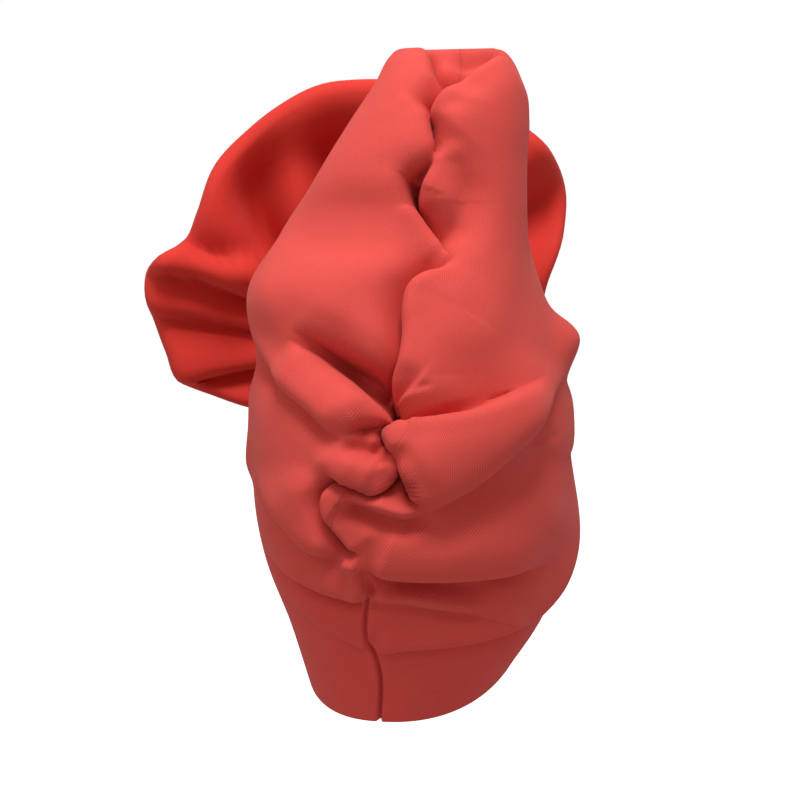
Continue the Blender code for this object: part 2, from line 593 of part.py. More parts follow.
def fan_cloth(turn, s):
    """The fan's doubled cloth: s runs from the middle of the front, over the rim, to the root behind.

    turn is in degrees, anticlockwise as seen from behind the wearer.
    """
    outline_turn, outline = np.array(FAN_OUTLINE).T
    rim = spline(outline_turn, outline * FAN_RADIUS, (turn + 90) % 360 - 90)
    front = np.clip(s / FAN_FRONT_SHARE, 0, 1)
    behind = np.clip((s - FAN_BACK_SHARE) / (1 - FAN_BACK_SHARE), 0, 1)
    roll = np.clip((s - FAN_FRONT_SHARE) / (FAN_BACK_SHARE - FAN_FRONT_SHARE), 0, 1) * math.pi
    edge = rim - FAN_RIM_ROLL
    middle = FAN_EYE_RADIUS + (edge - FAN_EYE_RADIUS) * front**0.9
    out = np.where(s < FAN_FRONT_SHARE, middle, edge + (FAN_ROOT_RADIUS - edge) * behind)
    q = out / rim
    dish = FAN_DISH * np.sin(0.8 * math.pi * q**0.8)
    puff = FAN_RIM_ROLL / 2 + FAN_PUFF * np.sin(math.pi * (0.15 + 0.78 * q))
    neck = 1 - smooth(FAN_NECK_SHARE, 1.0, behind)
    at = np.stack([-np.radians(turn) * FAN_RADIUS / 2, q * FAN_RADIUS], -1)
    scale = np.array([-math.radians(1) * FAN_RADIUS / 2, FAN_RADIUS])
    height, _ = fold_relief(at, PLEATS, scale, PLEAT_DEPTH)
    forward = dish * neck + np.cos(roll) * puff * neck - height * smooth(0.15, 0.6, q) * neck
    out = out + FAN_RIM_ROLL * np.sin(roll)
    angle = np.radians(turn)
    return (FAN_CENTRE + (out * np.cos(angle))[:, None] * FAN_RIGHT
            + (out * np.sin(angle))[:, None] * FAN_UPWARD + forward[:, None] * FAN_FORWARD)


def fan_rows():
    """Where the fan's rows lie along its doubled cloth."""
    front = np.linspace(0, FAN_FRONT_SHARE, FAN_FRONT_ROWS + 1)
    rim = np.linspace(FAN_FRONT_SHARE, FAN_BACK_SHARE, FAN_RIM_ROWS + 1)
    back = np.linspace(FAN_BACK_SHARE, 1, FAN_BACK_ROWS + 1)
    return np.concatenate([front, rim[1:], back[1:]])


def surface_tree(piece):
    """The piece's faces, ready for finding where a line meets them."""
    corners = [vertex.co for vertex in piece.data.vertices]
    return BVHTree.FromPolygons(corners, [tuple(face.vertices) for face in piece.data.polygons])


def clear_of_wrap(points, drapes, gap):
    """The points, each moved forward where it would lie closer than gap to the wrap."""
    forward = Vector(FAN_FORWARD)
    moved = []
    for point in points:
        place = Vector(point)
        for drape in drapes:
            hit = drape.ray_cast(Vector(point) + forward * FAN_RADIUS, -forward, 2 * FAN_RADIUS)[0]
            if hit is not None:
                place += forward * max(gap - (place - hit).dot(forward), 0)
        moved.append(place)
    return np.array(moved)


def make_fan(name, drapes, material):
    """The pleated fan, seated on the wrap by the ring at its root."""
    rows = fan_rows()
    turns = np.linspace(-90, 270, FAN_COLUMNS, endpoint=False)
    turn, s = np.meshgrid(turns, rows)

    def surface(a, b):
        return fan_cloth(a.reshape(-1), b.reshape(-1)).reshape(*a.shape, 3)

    outer = surface(turn, s)
    normal = -surface_normals(surface, turn, s, *FAN_STEPS)
    inner = outer - normal * WALL
    trees = [surface_tree(drape) for drape in drapes]
    for row in np.flatnonzero(rows >= FAN_BACK_SHARE)[:-1]:
        outer[row] = clear_of_wrap(outer[row], trees, FAN_CLEARANCE)
        inner[row] = clear_of_wrap(inner[row], trees, FAN_CLEARANCE + WALL)
    under = FAN_FORWARD * FAN_RADIUS / 2
    outer[-1] = clear_of_wrap(outer[-1] - under, trees, SEAT_GAP)
    inner[-1] = clear_of_wrap(inner[-1] - under, trees, SEAT_GAP)
    return closed_wall(name, outer[:, ::-1], inner[:, ::-1], material, closed=True, capped=True)


def build():
    for old in list(bpy.data.objects):
        bpy.data.objects.remove(old)
    left = make_drape("left_drape", -1, cloth_material("left_drape_knit", (0.66, 0.075, 0.065)))
    right = make_drape("right_drape", 1, cloth_material("right_drape_knit", (0.68, 0.08, 0.07)))
    make_band("head_band", cloth_material("band_knit", (0.62, 0.07, 0.06)))
    make_fan("front_fan", (left, right), cloth_material("fan_knit", (0.64, 0.07, 0.06)))


build()
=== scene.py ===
import math
from collections import namedtuple

import bpy
import numpy as np
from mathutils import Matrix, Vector
from mathutils.bvhtree import BVHTree


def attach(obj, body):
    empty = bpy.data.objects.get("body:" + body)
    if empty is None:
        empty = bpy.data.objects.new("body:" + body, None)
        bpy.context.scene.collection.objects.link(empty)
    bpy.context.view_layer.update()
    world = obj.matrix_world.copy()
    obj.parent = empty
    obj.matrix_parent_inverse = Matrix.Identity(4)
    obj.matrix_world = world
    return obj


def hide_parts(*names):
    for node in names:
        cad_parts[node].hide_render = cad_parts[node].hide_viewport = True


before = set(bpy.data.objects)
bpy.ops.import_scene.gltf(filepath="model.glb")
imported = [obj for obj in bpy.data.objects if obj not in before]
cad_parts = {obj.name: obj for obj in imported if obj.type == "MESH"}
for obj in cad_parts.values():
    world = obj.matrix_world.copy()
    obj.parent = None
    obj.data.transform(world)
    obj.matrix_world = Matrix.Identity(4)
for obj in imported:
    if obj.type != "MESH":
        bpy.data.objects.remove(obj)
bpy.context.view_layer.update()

# Sizes of the wrap. Each seam's edges lie SEAM_GAP apart, and the fan's root SEAT_GAP from its seat.
WALL = 0.0018
SEAM_GAP = 0.0002
SEAT_GAP = 0.0004
CROWN_HEIGHT = 0.201
LOOP_HEIGHT = 0.161
FOREHEAD_RISE = 0.085
CROWN_HALF_WIDTH = 0.089
BACK_DEPTH = 0.109
FRONT_DEPTH = 0.104
HEM_HALF_WIDTH = 0.0605
HEM_DEPTH = 0.080
LOOP_HALF_WIDTH = 0.078
LOOP_DEPTH = 0.071

# The peak: its slit, how far it narrows, by what share and from where its wall thins, and the share of
# the run over which its folds ease out
PEAK_SLIT = 0.0001
PEAK_NARROWING = 0.8
PEAK_THINNING = 0.97
PEAK_THIN_FROM = 0.975
PEAK_EASE = 0.022

# The hem's section: its centre in shares of CROWN_HALF_WIDTH, and its front as a share of FRONT_DEPTH
HEM_X = 0.03
HEM_Y = 0.09
HEM_FRONT = 0.85

# The back's depth gives way to the front's between these cosines either way, and the hem's rise to the
# front follows this power
FRONT_BLEND = 0.35
RISE_POWER = 1.3

# Sizes of the fan
FAN_RADIUS = 0.160
FAN_DISH = 0.034
FAN_PUFF = 0.007
FAN_RIM_ROLL = 0.006
FAN_ROOT_RADIUS = 0.034
FAN_EYE_RADIUS = 0.006
FAN_SETBACK = 0.008
FAN_CLEARANCE = 0.002

# Depths and width of the folds
FOLD_DEPTH = 0.0125
SIDE_FOLD_DEPTH = 0.010
FOLD_WIDTH = 0.010
PLEAT_DEPTH = 0.014

# Where the fan is sewn on: degrees round from the back of the head, share of CROWN_HEIGHT up, and its
# turn and lean
FAN_AZIMUTH = -151.0
FAN_UP = 0.945
FAN_TURN = math.radians(22.0)
FAN_LEAN = math.radians(5.0)

# The back's folds are laid out on an upright sheet through the head's axis, turned by LAYOUT_TURN and
# tipped by LAYOUT_RISE, and are carried to the cloth from a point that lies these heights behind and up.
# Its steps are shares of CROWN_HALF_WIDTH across and of HEIGHT up.
LAYOUT_TURN = math.radians(15.0)
LAYOUT_RISE = math.radians(4.0)
LAYOUT_HEIGHTS_BEHIND = 3.45
LAYOUT_HEIGHTS_UP = 0.46
STEPS_ACROSS = 80
STEPS_UP = 323

# Rows and columns of cloth. The inner side has half as many each way.
HALF_COLUMNS = 220
DRAPE_ROWS = 280
BAND_ROWS = 70
FAN_COLUMNS = 420
FAN_FRONT_ROWS = 60
FAN_RIM_ROWS = 12
FAN_BACK_ROWS = 28

# Shares of a half's columns that lie evenly, and that follow this power and so lie closer at the back
EVEN_COLUMNS = 0.55
CLOSER_COLUMNS = 0.45
COLUMN_POWER = 2.2

# At a seam one edge is tucked in under the other: columns and rows of the tuck, their steps (a share of
# the half's columns, and a share up the wrap), how far in it lies, and the steps that take it there
TUCK_COLUMNS = 8
TUCK_ROWS = 6
TUCK_STEPS = (0.004, 0.003)
TUCK_DEPTH = 0.0024
TUCK_TURN = 3

# Small steps round and up the plain wrap, over which its slope is taken
PLAIN_STEPS = (0.02, 0.008)

# Rounds of smoothing of the normals along which the wall is laid, and the least length of a vector
NORMAL_ROUNDS = 6
TINY = 1e-12

# The back crease is looked for this far to each side, at this many angles and heights, the band's edge up
# to this share of the run, and the fan's seat all the way up
CREASE_SWEEP = math.radians(60)
CREASE_STEPS = 241
CREASE_HEIGHTS = 120
BAND_SWEEP = 0.6
BAND_STEPS = 200
SEAT_STEPS = 400

# Shares of the fan's doubled cloth: its front layer ends, its back layer starts, and that layer's share
# from which it closes in to the root
FAN_FRONT_SHARE = 0.45
FAN_BACK_SHARE = 0.55
FAN_NECK_SHARE = 0.7

# The fan's columns start at this many degrees, and its front rows open out by this power. On the way out,
# its dish is a share of a half wave, its puff a stretch of one, and its pleats set in between two shares.
FAN_START = -90
FAN_ROW_POWER = 0.9
DISH_SHARE = 0.8
DISH_POWER = 0.8
PUFF_FROM = 0.15
PUFF_SPAN = 0.78
PLEATS_FROM = 0.15
PLEATS_FULL = 0.6

# A lap leans over: a share of its rise and sink, at a share of its roll, over a share of its roll
LAP_LEAN_SHARES = (0.28, 0.45, 0.7)

# A fold counts out to this many widths, its route is made this much finer, and a swell takes this share
# at each of its spots
FOLD_REACH = 2.7
ROUTE_POINTS = 8
SWELL_SHARE = 0.5

# The back's folds are full where the cloth faces the layout by this cosine, and the side's folds ease out
# over this angle at the front seam
FACING_FULL = 0.42
SEAM_EASE = 0.25

HEIGHT = CROWN_HEIGHT + LOOP_HEIGHT
STEP_ACROSS = CROWN_HALF_WIDTH / STEPS_ACROSS
STEP_UP = HEIGHT / STEPS_UP
LAYOUT_DISTANCE = LAYOUT_HEIGHTS_BEHIND * HEIGHT
LAYOUT_HEIGHT = LAYOUT_HEIGHTS_UP * HEIGHT

# Sections of the crown, from the hem up. up is a share of CROWN_HEIGHT, rise of FOREHEAD_RISE, x, y, left
# and right of CROWN_HALF_WIDTH, back of BACK_DEPTH and front of FRONT_DEPTH.
Section = namedtuple("Section", "name up rise x y left right back front")
CROWN_SECTIONS = (
    Section("band", 0.18, 0.85, 0.03, 0.07, 0.80, 0.93, 0.825, 0.915),
    Section("band top", 0.35, 0.78, 0.02, 0.05, 0.93, 0.99, 0.925, 0.96),
    Section("lower drape", 0.53, 0.61, 0.01, 0.03, 0.98, 1.00, 0.98, 1.0),
    Section("widest", 0.70, 0.45, 0.03, 0.02, 1.00, 0.98, 1.0, 0.95),
    Section("crown", 0.855, 0.25, 0.00, 0.03, 1.00, 0.99, 0.925, 0.855),
    Section("shoulder", 1.0, 0.09, -0.01, 0.04, 0.935, 0.93, 0.81, 0.73),
)
# Sections of the tall loop. up is a share of LOOP_HEIGHT above the crown, x, left and right are shares of
# LOOP_HALF_WIDTH, and y, back and front of LOOP_DEPTH.
LOOP_SECTIONS = (
    Section("foot", 0.17, 0.0, -0.05, 0.03, 1.055, 1.00, 1.0, 0.87),
    Section("loop", 0.37, 0.0, -0.01, 0.00, 0.93, 0.85, 0.775, 0.70),
    Section("upper loop", 0.58, 0.0, 0.10, 0.00, 0.745, 0.72, 0.62, 0.59),
    Section("near the peak", 0.75, 0.0, 0.22, 0.03, 0.63, 0.62, 0.51, 0.48),
    Section("top bend", 0.885, 0.0, 0.29, 0.05, 0.52, 0.50, 0.38, 0.36),
    Section("rounding over", 0.96, 0.0, 0.31, 0.06, 0.47, 0.41, 0.25, 0.24),
    Section("peak", 0.99, 0.0, 0.32, 0.06, 0.42, 0.34, 0.12, 0.12),
)

# The crease where the two halves meet at the back, from the hem up: the seam, the knot and the crossing
# strands. across and up are in the layout's steps.
CREASE = (
    (-15, -13), (-15, 18), (-19, 24), (-22, 34), (-22, 49), (-24, 60), (-27, 71), (-31, 78), (-35, 87),
    (-34, 97), (-28, 104), (-14, 110), (-7, 116), (-6, 124), (-3, 131), (2, 139), (-1, 153), (-4, 161),
    (-3, 168), (0, 186), (1, 199), (6, 206), (14, 214), (20, 222), (11, 234), (3, 246), (4, 257),
    (11, 270), (9, 284), (17, 300), (24, 318), (27, 340),
)

# The upper edge of the band: degrees round from the back, and height as a share of CROWN_HEIGHT
BAND_EDGE = (
    (-180, 0.60), (-140, 0.57), (-100, 0.50), (-60, 0.436), (-44, 0.413), (-29, 0.382), (-17, 0.356),
    (0, 0.34), (15, 0.321), (29, 0.302), (49, 0.264), (62, 0.24), (85, 0.295), (110, 0.42), (145, 0.55),
    (180, 0.60),
)

# Folds. rise and sink are shares of FOLD_DEPTH, roll, dip and reach of FOLD_WIDTH: a lap rises over its
# roll on the right-hand side of its route and sinks over its dip on the other. fade_in and fade_out are
# shares of the route, whose points are (across, up) in the layout's steps.
Fold = namedtuple("Fold", "name kind rise sink roll dip reach fade_in fade_out route")
BACK_FOLDS = (
    Fold("left lobe", "swell", 0.5, 0, 2.4, 0, 0, 0, 0, ((-55, 199), (-38, 229), (-20, 264), (-5, 299))),
    Fold("right strand", "swell", 0.6, 0, 1.8, 0, 0, 0, 0,
         ((36, 306), (38, 276), (40, 246), (35, 216), (28, 179))),
    Fold("right roll", "swell", 0.6, 0, 1.5, 0, 0, 0, 0, ((10, 118), (30, 129), (50, 146))),
    Fold("lower roll", "swell", 0.5, 0, 1.6, 0, 0, 0, 0, ((-15, 79), (15, 82), (40, 84), (65, 92))),
    Fold("left side", "swell", 0.3, 0, 2.2, 0, 0, 0, 0, ((-60, 139), (-58, 114), (-55, 94))),
    Fold("panel between the strands at the peak", "valley", 0, 0.8, 1.2, 1.2, 0, 0, 0.3,
         ((28, 334), (26, 319), (19, 299))),
    Fold("right strand over the peak panel", "lap", 0.3, 1.0, 0.5, 1.1, 2.0, 0.15, 0.1,
         ((7, 288), (18, 300), (32, 310), (48, 320))),
    Fold("left strand over the peak panel", "lap", 0.25, 0.8, 0.5, 0.8, 2.0, 0.1, 0.25,
         ((7, 326), (9, 313), (13, 306), (17, 299))),
    Fold("left pocket", "valley", 0, 0.4, 0.5, 0.5, 0, 0.3, 0.3, ((14, 310), (10, 300), (8, 289))),
    Fold("left strand over the facet", "lap", 0.12, 0.9, 0.45, 0.9, 2.0, 0.3, 0.3,
         ((6, 300), (8, 286), (12, 268))),
    Fold("facet's edge", "ridge", 0.2, 0, 0.9, 0.9, 0, 0.3, 0.3, ((21, 296), (20, 282), (15, 269))),
    Fold("right strand over the pocket", "lap", 0.1, 0.8, 0.7, 0.9, 2.0, 0.3, 0.45,
         ((6, 241), (5, 250), (8, 260), (14, 272))),
    Fold("pocket", "valley", 0, 0.8, 0.6, 0.6, 0, 0.2, 0.2, ((1, 262), (-1, 255), (2, 246))),
    Fold("left strand over the pocket", "lap", 0.2, 0.9, 0.8, 1.0, 2.2, 0.15, 0.15,
         ((12, 268), (2, 266), (-4, 261), (-4, 256), (-1, 248), (5, 240), (12, 232), (20, 222))),
    Fold("hollow along the right strand", "valley", 0, 0.6, 1.0, 0.9, 0, 0.3, 0.45,
         ((17, 221), (24, 233), (28, 248), (25, 262), (20, 274))),
    Fold("right strand over left", "lap", 0.6, 1.3, 0.6, 1.3, 2.2, 0.08, 0.25,
         ((4, 136), (0, 148), (-5, 160), (-2, 169), (0, 182), (0, 193), (2, 202), (8, 208), (16, 214),
          (24, 222))),
    Fold("left bulge", "ridge", 0.7, 0, 2.2, 2.2, 0, 0.25, 0.25,
         ((-85, 196), (-55, 198), (-25, 203), (-2, 210), (15, 217))),
    Fold("hollow over the bulge", "swell", -0.5, 0, 1.5, 0, 0, 0, 0,
         ((-50, 233), (-30, 235), (-5, 233), (10, 228))),
    Fold("flap over the deep valley", "lap", 0.35, 1.0, 0.7, 0.9, 1.8, 0.1, 0.35,
         ((-8, 163), (-22, 171), (-35, 176), (-46, 179), (-55, 181))),
    Fold("deep valley", "valley", 0, 1.6, 1.4, 1.1, 0, 0.3, 0.05,
         ((-52, 178), (-40, 172), (-26, 164), (-12, 155), (-2, 148))),
    Fold("roll's edge over the deep valley", "lap", 0.5, 0.7, 0.9, 1.1, 1.6, 0.2, 0.1,
         ((-57, 177), (-46, 168), (-33, 159), (-21, 149), (-6, 138))),
    Fold("left lobe over the side", "lap", 0.45, 0.45, 0.8, 0.8, 2.6, 0.2, 0,
         ((-32, 126), (-38, 132), (-44, 139), (-51, 146), (-60, 154), (-70, 168), (-75, 178),
          (-80, 188))),
    Fold("roll over the small panel", "lap", 0.25, 0.7, 0.4, 0.5, 1.0, 0.1, 0.3,
         ((1, 137), (-8, 138), (-19, 138), (-27, 137), (-32, 129))),
    Fold("small panel at the knot", "valley", 0, 0.5, 0.8, 0.8, 0, 0.25, 0.25,
         ((-29, 131), (-20, 131), (-12, 127))),
    Fold("hollow at the knot", "valley", 0, 0.9, 0.6, 0.6, 0, 0.3, 0.15,
         ((-8, 152), (-3, 144), (-1, 138))),
    Fold("tongue at the knot", "ridge", 0.4, 0, 0.8, 0.8, 0, 0.3, 0.15,
         ((-50, 117), (-38, 118), (-26, 115), (-15, 112))),
    Fold("dent over the tongue", "valley", 0, 0.5, 0.4, 0.5, 0, 0.25, 0.15,
         ((-34, 127), (-25, 124), (-18, 122), (-12, 118))),
    Fold("right roll's left edge", "lap", 0.35, 0.9, 0.4, 0.45, 1.2, 0.15, 0.1,
         ((4, 96), (0, 106), (-5, 117), (-10, 127), (-16, 138))),
    Fold("tongue's end", "lap", 0.25, 0.9, 0.5, 0.45, 1.0, 0.15, 0.2,
         ((-8, 127), (-7, 118), (-9, 112), (-14, 106), (-19, 104), (-27, 107), (-34, 110), (-42, 113))),
    Fold("recess by the tongue", "valley", 0, 0.4, 0.7, 0.7, 0, 0.3, 0.3,
         ((-4, 114), (-8, 105), (-16, 102))),
    Fold("right roll's top", "lap", 0.4, 1.0, 0.6, 1.4, 1.8, 0.1, 0.35,
         ((-15, 138), (1, 137), (15, 138), (28, 140), (40, 145), (52, 152), (68, 163))),
    Fold("long roll", "ridge", 0.55, 0, 0.5, 0.6, 0, 0.3, 0.25,
         ((-36, 105), (-29, 102), (-18, 98), (-6, 94), (7, 95))),
    Fold("under the long roll", "valley", 0, 0.7, 0.5, 0.6, 0, 0.15, 0.3,
         ((-35, 98), (-25, 93), (-12, 89), (1, 88), (13, 92))),
    Fold("right roll over the side", "lap", 0.5, 0.4, 1.2, 1.0, 2.0, 0.25, 0.2,
         ((82, 166), (75, 156), (66, 144), (57, 132), (44, 119), (30, 107), (15, 98), (1, 89))),
    Fold("lower roll's left edge", "lap", 0.2, 0.9, 0.5, 0.5, 1.2, 0.15, 0.25,
         ((-25, 72), (-32, 80), (-36, 86), (-40, 94), (-41, 100), (-39, 106), (-34, 111))),
    Fold("left band", "ridge", 0.3, 0, 1.1, 1.2, 0, 0.25, 0.25,
         ((-46, 116), (-50, 105), (-48, 92), (-42, 80), (-35, 72))),
    Fold("left layer's edge", "lap", 0.4, 0.3, 0.9, 0.7, 2.0, 0.15, 0.45,
         ((-33, 72), (-44, 74), (-55, 82), (-65, 92), (-73, 104), (-78, 118))),
    Fold("tip", "ridge", 0.4, 0, 0.4, 0.4, 0, 0.3, 0.3, ((-34, 70), (-29, 68), (-24, 68))),
    Fold("lower roll over the band", "lap", 0.4, 0.5, 0.9, 0.7, 1.8, 0.3, 0.1,
         ((75, 71), (68, 68), (52, 63), (30, 60), (12, 59), (-5, 60), (-15, 62), (-24, 66))),
    Fold("crease across the roll", "swell", -0.35, 0, 0.8, 0, 0, 0, 0,
         ((10, 82), (28, 92), (50, 105), (70, 120))),
    Fold("left fold over the nape", "lap", 0.4, 0.4, 0.8, 0.6, 1.8, 0.1, 0.4,
         ((-22, 48), (-32, 50), (-44, 54), (-56, 60), (-68, 68), (-76, 76))),
    Fold("rib panel's edge", "valley", 0, 0.2, 0.4, 0.4, 0, 0.3, 0.3, ((-41, 74), (-35, 65), (-30, 50))),
    Fold("little valley", "valley", 0, 0.5, 0.5, 0.6, 0, 0.15, 0.4,
         ((-14, 54), (0, 55), (22, 54), (50, 54))),
    Fold("little ridge", "ridge", 0.3, 0, 0.4, 0.4, 0, 0.1, 0.4,
         ((-21, 50), (-5, 50), (15, 47), (45, 43))),
    Fold("under the little ridge", "valley", 0, 0.25, 0.3, 0.4, 0, 0.05, 0.3,
         ((-21, 47), (0, 45), (20, 42), (48, 38))),
    Fold("upper seam", "valley", 0, 0.3, 0.25, 0.25, 0, 0.1, 0.1, ((-24, 66), (-23, 58), (-19, 51))),
    Fold("right nape line", "lap", 0.2, 0.15, 0.4, 0.5, 1.2, 0.1, 0.1,
         ((62, 38), (40, 30), (18, 26), (-5, 24), (-18, 22))),
    Fold("left nape line", "lap", 0.12, 0.1, 0.5, 0.5, 1.2, 0.1, 0.2,
         ((-20, 23), (-31, 28), (-48, 38), (-62, 50))),
    Fold("back seam", "valley", 0, 0.3, 0.11, 0.11, 0, 0, 0,
         ((-22, 49), (-23, 39), (-22, 29), (-18, 21), (-16, 14), (-16, -15))),
    Fold("small wrinkle by the strands' edge", "valley", 0, 0.12, 0.15, 0.25, 0, 0.2, 0.4,
         ((-3, 156), (4, 155), (12, 156))),
    Fold("small wrinkle at the right", "valley", 0, 0.10, 0.15, 0.25, 0, 0.4, 0.3,
         ((38, 149), (46, 150), (54, 152))),
    Fold("small crease at the right side", "valley", 0, 0.12, 0.15, 0.3, 0, 0.3, 0.4,
         ((60, 127), (68, 129), (76, 132))),
)
# Folds of the sides, laid out as (degrees round from the back, height as a share of HEIGHT). Their depths
# are shares of SIDE_FOLD_DEPTH.
SIDE_FOLDS = (
    Fold("right drape over the band", "lap", 0.5, 0.2, 1.2, 1.0, 2.0, 0.3, 0.3,
         ((150, 0.30), (110, 0.232), (85, 0.166), (60, 0.134), (40, 0.15))),
    Fold("side roll", "ridge", 1.1, 0, 1.2, 1.3, 0, 0.3, 0.3,
         ((45, 0.51), (70, 0.532), (100, 0.552), (140, 0.56), (175, 0.545))),
    Fold("under the side roll", "valley", 0, 0.25, 0.8, 0.8, 0, 0.3, 0.3,
         ((55, 0.462), (80, 0.478), (110, 0.50), (150, 0.51))),
    Fold("right fold", "lap", 0.12, 0.1, 1.1, 1.0, 2.5, 0.25, 0.3,
         ((175, 0.48), (150, 0.44), (110, 0.39), (75, 0.37), (50, 0.345))),
    Fold("left fold", "lap", 0.4, 0.4, 1.1, 1.0, 2.5, 0.2, 0.25,
         ((-60, 0.33), (-85, 0.36), (-110, 0.395), (-128, 0.42))),
    Fold("left lobe", "lap", 0.3, 0.95, 1.5, 1.0, 3.0, 0.2, 0.25,
         ((-60, 0.50), (-85, 0.545), (-108, 0.565), (-126, 0.575))),
)

# The fan's outline, anticlockwise from its right as seen from behind: degrees and share of FAN_RADIUS
FAN_OUTLINE = (
    (-90, 0.38), (-50, 0.41), (-20, 0.49), (0, 0.56), (12, 0.64), (23, 0.71), (32, 0.85), (38, 0.94),
    (48, 0.99), (57, 1.0), (70, 1.01), (87, 1.0), (94, 1.0), (101, 1.0), (112, 0.965), (120, 0.935),
    (131, 0.90), (142, 0.83), (150, 0.81), (157, 0.88), (166, 0.87), (172, 0.82), (180, 0.77),
    (190, 0.72), (196, 0.62), (206, 0.50), (225, 0.41), (245, 0.38), (270, 0.38),
)
# Pleats. Their depths are shares of PLEAT_DEPTH and widths of FOLD_WIDTH, and their routes are (degrees
# round, share of the way out to the rim).
PLEATS = (
    Fold("notch", "lap", 0.4, 0.5, 0.8, 0.8, 2.0, 0.25, 0, ((151.5, 1.05), (150, 0.88), (144, 0.72))),
    Fold("first pleat", "lap", 0.5, 0.7, 0.5, 1.2, 3.0, 0, 0.1,
         ((158, 0.3), (157, 0.6), (158, 0.85), (161, 1.02))),
    Fold("second pleat", "lap", 0.4, 0.6, 0.5, 1.2, 3.0, 0, 0.1,
         ((171, 0.3), (170, 0.6), (170, 0.9), (171, 1.05))),
    Fold("third pleat", "lap", 0.4, 0.7, 0.5, 1.2, 3.0, 0, 0.1,
         ((188, 0.3), (189, 0.6), (190, 0.9), (191, 1.0))),
    Fold("hollow by the left rim", "valley", 0, 1.8, 1.3, 1.5, 0, 0.25, 0.15,
         ((124, 1.0), (126, 0.85), (132, 0.7), (139, 0.3))),
    Fold("left rim roll", "ridge", 0.6, 0, 1.4, 1.4, 0, 0.2, 0.3,
         ((150, 0.6), (141, 0.8), (133, 0.95), (128, 1.05))),
    Fold("inner bulge", "ridge", 0.1, 0, 1.6, 1.6, 0, 0.3, 0.3, ((116, 0.4), (116, 0.65), (112, 0.9))),
    Fold("top hollow", "valley", 0, 1.9, 1.3, 1.8, 0, 0.25, 0.1,
         ((100, 0.92), (101, 0.7), (103, 0.45), (105, 0.3))),
    Fold("top ridge", "ridge", 0.9, 0, 1.4, 1.4, 0, 0, 0.2, ((80, 1.1), (82, 0.3))),
    Fold("upper hollow", "valley", 0, 0.9, 1.3, 1.3, 0, 0, 0.2, ((64, 1.1), (66, 0.3))),
    Fold("right ridge", "ridge", 0.9, 0, 1.3, 1.3, 0, 0, 0.2, ((53, 1.1), (54, 0.3))),
    Fold("right hollow", "valley", 0, 1.3, 1.1, 1.1, 0, 0, 0.2,
         ((38, 1.1), (42, 0.8), (46, 0.6), (48, 0.3))),
    Fold("right lower ridge", "ridge", 0.7, 0, 1.4, 1.4, 0, 0, 0.2, ((22, 1.1), (24, 0.3))),
    Fold("right lower hollow", "valley", 0, 0.6, 1.2, 1.2, 0, 0, 0.2, ((2, 1.1), (4, 0.3))),
    *(Fold("lower hollow", "valley", 0, 0.5, 1.2, 1.2, 0, 0, 0.2, ((at_rim, 1.1), (at_root, 0.3)))
      for at_rim, at_root in ((-32, -30), (-66, -64), (244, 244), (216, 214))),
)


def smooth(low, high, x):
    """0 below low, 1 above high, and a smooth step between."""
    t = np.clip((x - low) / (high - low), 0, 1)
    return t * t * (3 - 2 * t)


def spline(xs, ys, x):
    """A smooth curve through the points (xs, ys), read at x."""
    xs = np.asarray(xs, float)
    ys = np.asarray(ys, float)
    slope = np.gradient(ys, xs, axis=0)
    i = np.clip(np.searchsorted(xs, x) - 1, 0, len(xs) - 2)
    span = xs[i + 1] - xs[i]
    t = (x - xs[i]) / span
    if ys.ndim > 1:
        span = span[..., None]
        t = t[..., None]
    start = (2 * t**3 - 3 * t**2 + 1) * ys[i] + (t**3 - 2 * t**2 + t) * span * slope[i]
    return start + (3 * t**2 - 2 * t**3) * ys[i + 1] + (t**3 - t**2) * span * slope[i + 1]


def smooth_route(points):
    """The route as a fine smooth line."""
    p = np.asarray(points, float)
    run = np.concatenate([[0], np.cumsum(np.linalg.norm(np.diff(p, axis=0), axis=1))])
    return spline(run, p, np.linspace(0, run[-1], ROUTE_POINTS * len(p)))


def from_route(at, route):
    """How far each point is from the route, its share along it, and the route's right-hand side there.

    The distance is positive on the right-hand side.
    """
    lengths = np.linalg.norm(np.diff(route, axis=0), axis=1)
    run = np.concatenate([[0], np.cumsum(lengths)])
    nearest = np.full(len(at), np.inf)
    distance = np.zeros(len(at))
    share = np.zeros(len(at))
    side = np.zeros((len(at), 2))
    for k in range(len(lengths)):
        along = (route[k + 1] - route[k]) / lengths[k]
        right = np.array([along[1], -along[0]])
        t = np.clip((at - route[k]) @ along, 0, lengths[k])
        off = at - route[k] - t[:, None] * along
        length = np.hypot(off[:, 0], off[:, 1])
        nearer = length < nearest
        nearest[nearer] = length[nearer]
        distance[nearer] = np.where(off[nearer] @ right < 0, -1, 1) * length[nearer]
        share[nearer] = (run[k] + t[nearer]) / run[-1]
        side[nearer] = right
    return distance, share, side


def fold_fade(share, fold):
    """1 along the fold, easing to 0 at its ends."""
    amount = np.ones_like(share)
    if fold.fade_in > 0:
        amount = amount * smooth(0, fold.fade_in, share)
    if fold.fade_out > 0:
        amount = amount * smooth(0, fold.fade_out, 1 - share)
    return amount


def bell(distance, width):
    return np.exp(-((distance / width) ** 2))


def lap_height(distance, rise, sink, roll, dip, reach):
    """A rolled edge of cloth over a dip: the section across a lap."""
    t = np.clip(distance / roll, 0, 1)
    edge = (rise + sink) * np.sqrt(1 - (1 - t) ** 2) - sink
    over = np.where(distance > roll, rise * bell(distance - roll, reach), edge)
    return np.where(distance > 0, over, -sink * bell(distance, dip))


